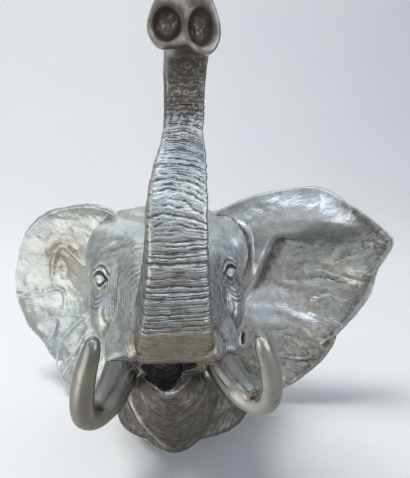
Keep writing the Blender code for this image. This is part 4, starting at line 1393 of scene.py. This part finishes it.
# ---- studio ----
FLOOR_FRONT = -3.0
FLOOR_BACK = 1.2           # where the floor starts to curve up
FLOOR_CURVE = 0.9
FLOOR_HALF_WIDTH = 4.0
BACKDROP_TOP = 3.5
DOME_LIGHT = (0.415, 0.447, 0.493)
WINDOW_WATTS = 48.0
WINDOW_SIZE = 0.9
WINDOW_PLACE = Vector((-0.75, -0.02, 2.6))
WINDOW_TARGET = Vector((0.0, 0.25, 0.0))
PANEL_FOCUS = 4.0          # how narrow the soft panels are that polished metal sees
PANEL_SHARE = 0.62
# Windows with firm edges: degrees to the head's right, degrees up, cosine at the edge, and colour.
WINDOWS = [
    (28, 58, 0.955, (1.22, 1.42, 1.6)), (-22, 36, 0.965, (0.98, 1.1, 1.27)),
    (78, 14, 0.945, (0.58, 0.59, 0.58)), (60, -28, 0.92, (0.72, 0.73, 0.69)),
    (-58, 18, 0.955, (0.6, 0.68, 0.82)), (-45, -14, 0.94, (0.85, 0.87, 0.9)),
    (150, 40, 0.93, (0.38, 0.4, 0.4)), (8, 10, 0.975, (0.3, 0.31, 0.32)),
]
WINDOW_EDGE = (-0.035, 0.025)      # where a window's light starts and is full, round that cosine
# Direction of each soft panel in the same degrees, and its colour.
PANELS = [
    (71, -30, (0.62, 0.66, 0.62)), (169, 41, (0.41, 0.46, 0.44)), (-171, 2, (0.36, 0.39, 0.37)),
    (-34, -2, (0.34, 0.37, 0.4)), (124, -47, (0.3, 0.31, 0.28)), (-21, 74, (0.25, 0.28, 0.3)),
    (116, 62, (0.21, 0.22, 0.21)), (-1, 20, (0.22, 0.25, 0.28)), (-139, 25, (0.16, 0.18, 0.18)),
    (84, 30, (0.21, 0.22, 0.2)), (51, 7, (0.21, 0.2, 0.17)), (31, 47, (0.16, 0.19, 0.21)),
    (156, -20, (0.19, 0.18, 0.17)), (-106, 54, (0.25, 0.27, 0.265)), (136, 16, (0.15, 0.17, 0.19)),
    (-151, -35, (0.17, 0.17, 0.16)), (-66, -25, (0.15, 0.17, 0.17)), (-54, 35, (0.14, 0.15, 0.15)),
    (176, -74, (0.16, 0.15, 0.12)), (104, -7, (0.11, 0.13, 0.13)), (-99, -54, (0.12, 0.12, 0.11)),
    (-14, -41, (0.07, 0.09, 0.1)), (-14, -22, (0.25, 0.24, 0.215)), (-112, 38, (0.24, 0.25, 0.26)),
]


def add_floor():
    """Pale floor that curves up far behind into a backdrop."""
    profile = [(FLOOR_FRONT, 0.0), (FLOOR_BACK, 0.0)]
    for k in range(1, 13):
        turn = math.radians(90 * k / 12)
        profile.append((FLOOR_BACK + FLOOR_CURVE * math.sin(turn),
                        FLOOR_CURVE - FLOOR_CURVE * math.cos(turn)))
    profile.append((FLOOR_BACK + FLOOR_CURVE, BACKDROP_TOP))
    points = np.array([(x, y, z) for y, z in profile for x in (-FLOOR_HALF_WIDTH, FLOOR_HALF_WIDTH)])
    faces = [[2 * k, 2 * k + 1, 2 * k + 3, 2 * k + 2] for k in range(len(profile) - 1)]
    floor = mesh_object("floor", points, faces)
    floor.data.shade_smooth()
    material = bpy.data.materials.new("pale_paper")
    nodes = Nodes(material)
    weave = nodes.grain(3.0, 2)
    colour = nodes.mix(weave, (0.8, 0.82, 0.835), (0.86, 0.865, 0.87))
    nodes.finish(colour, 0.0, 0.85, [(nodes.grain(300, 2), 0.0002, 0.1)])
    floor.data.materials.append(material)
    return floor


def add_world():
    """Even pale light for the floor; polished metal sees soft panels, brighter on the left and above."""
    world = bpy.data.worlds.new("studio")
    bpy.context.scene.world = world
    nodes = Nodes(world)
    direction = nodes.add("TexCoord").outputs["Generated"]
    lights = []
    for turn, rise, colour in PANELS:
        glow = nodes.math("POWER", math.exp(PANEL_FOCUS), nodes.facing(direction, turn, rise))
        share = PANEL_SHARE * math.exp(-PANEL_FOCUS)
        lights.append((tuple(share * channel for channel in colour), glow))
    for turn, rise, edge, colour in WINDOWS:
        start, full = (edge + part for part in WINDOW_EDGE)
        lights.append((colour, nodes.ramp(nodes.facing(direction, turn, rise), start, full)))
    seen_by_metal = (0, 0, 0)
    for colour, glow in lights:
        lit = nodes.add("VectorMath", {"operation": "SCALE"}, i0=colour, Scale=glow).outputs[0]
        seen_by_metal = nodes.add("VectorMath", {"operation": "ADD"}, i0=seen_by_metal, i1=lit).outputs[0]
    glossy = nodes.add("LightPath").outputs["Is Glossy Ray"]
    colour = nodes.mix(glossy, DOME_LIGHT, seen_by_metal)
    background = nodes.add("Background", {}, Color=colour, Strength=1.0)
    nodes.add("OutputWorld", {}, Surface=background.outputs[0])


def add_studio():
    add_floor().visible_glossy = False
    add_world()
    light = bpy.data.lights.new("window", "AREA")
    light.size = WINDOW_SIZE
    light.energy = WINDOW_WATTS
    light.color = (1.0, 0.985, 0.96)
    window = bpy.data.objects.new("window", light)
    window.location = WINDOW_PLACE
    window.rotation_euler = (WINDOW_TARGET - WINDOW_PLACE).to_track_quat("-Z", "Y").to_euler()
    window.visible_glossy = False
    bpy.context.scene.collection.objects.link(window)


# ---- camera ----
CAMERA_PLACE = (-0.03, -0.5, 0.3886)
CAMERA_TURN = math.radians(8.4)      # to the head's right of straight in front
CAMERA_DIP = math.radians(15.0)
CAMERA_LENS = 34.0


def add_camera():
    data = bpy.data.cameras.new("camera")
    data.lens = CAMERA_LENS
    data.sensor_width = 36.0
    data.clip_start = 0.01
    camera = bpy.data.objects.new("camera", data)
    camera.location = CAMERA_PLACE
    camera.rotation_euler = (math.radians(90) - CAMERA_DIP, 0, -CAMERA_TURN)
    bpy.context.scene.collection.objects.link(camera)
    bpy.context.scene.camera = camera


# ---- the scene ----
head = make_head()
head.data.materials.clear()
head.data.materials.append(cast_metal())
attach(head, "root")
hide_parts("head_casting")

TUSK_FINISH = tusk_metal()
for tusk_name, tusk_side, tusk_node in (("tusk_left_skin", 1, "tusk_left"),
                                        ("tusk_right_skin", -1, "tusk_right")):
    tusk = make_tusk(tusk_name, tusk_side)
    tusk.data.materials.append(TUSK_FINISH)
    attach(tusk, "root")
    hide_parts(tusk_node)

add_studio()
add_camera()
bpy.context.scene.view_settings.view_transform = "Standard"
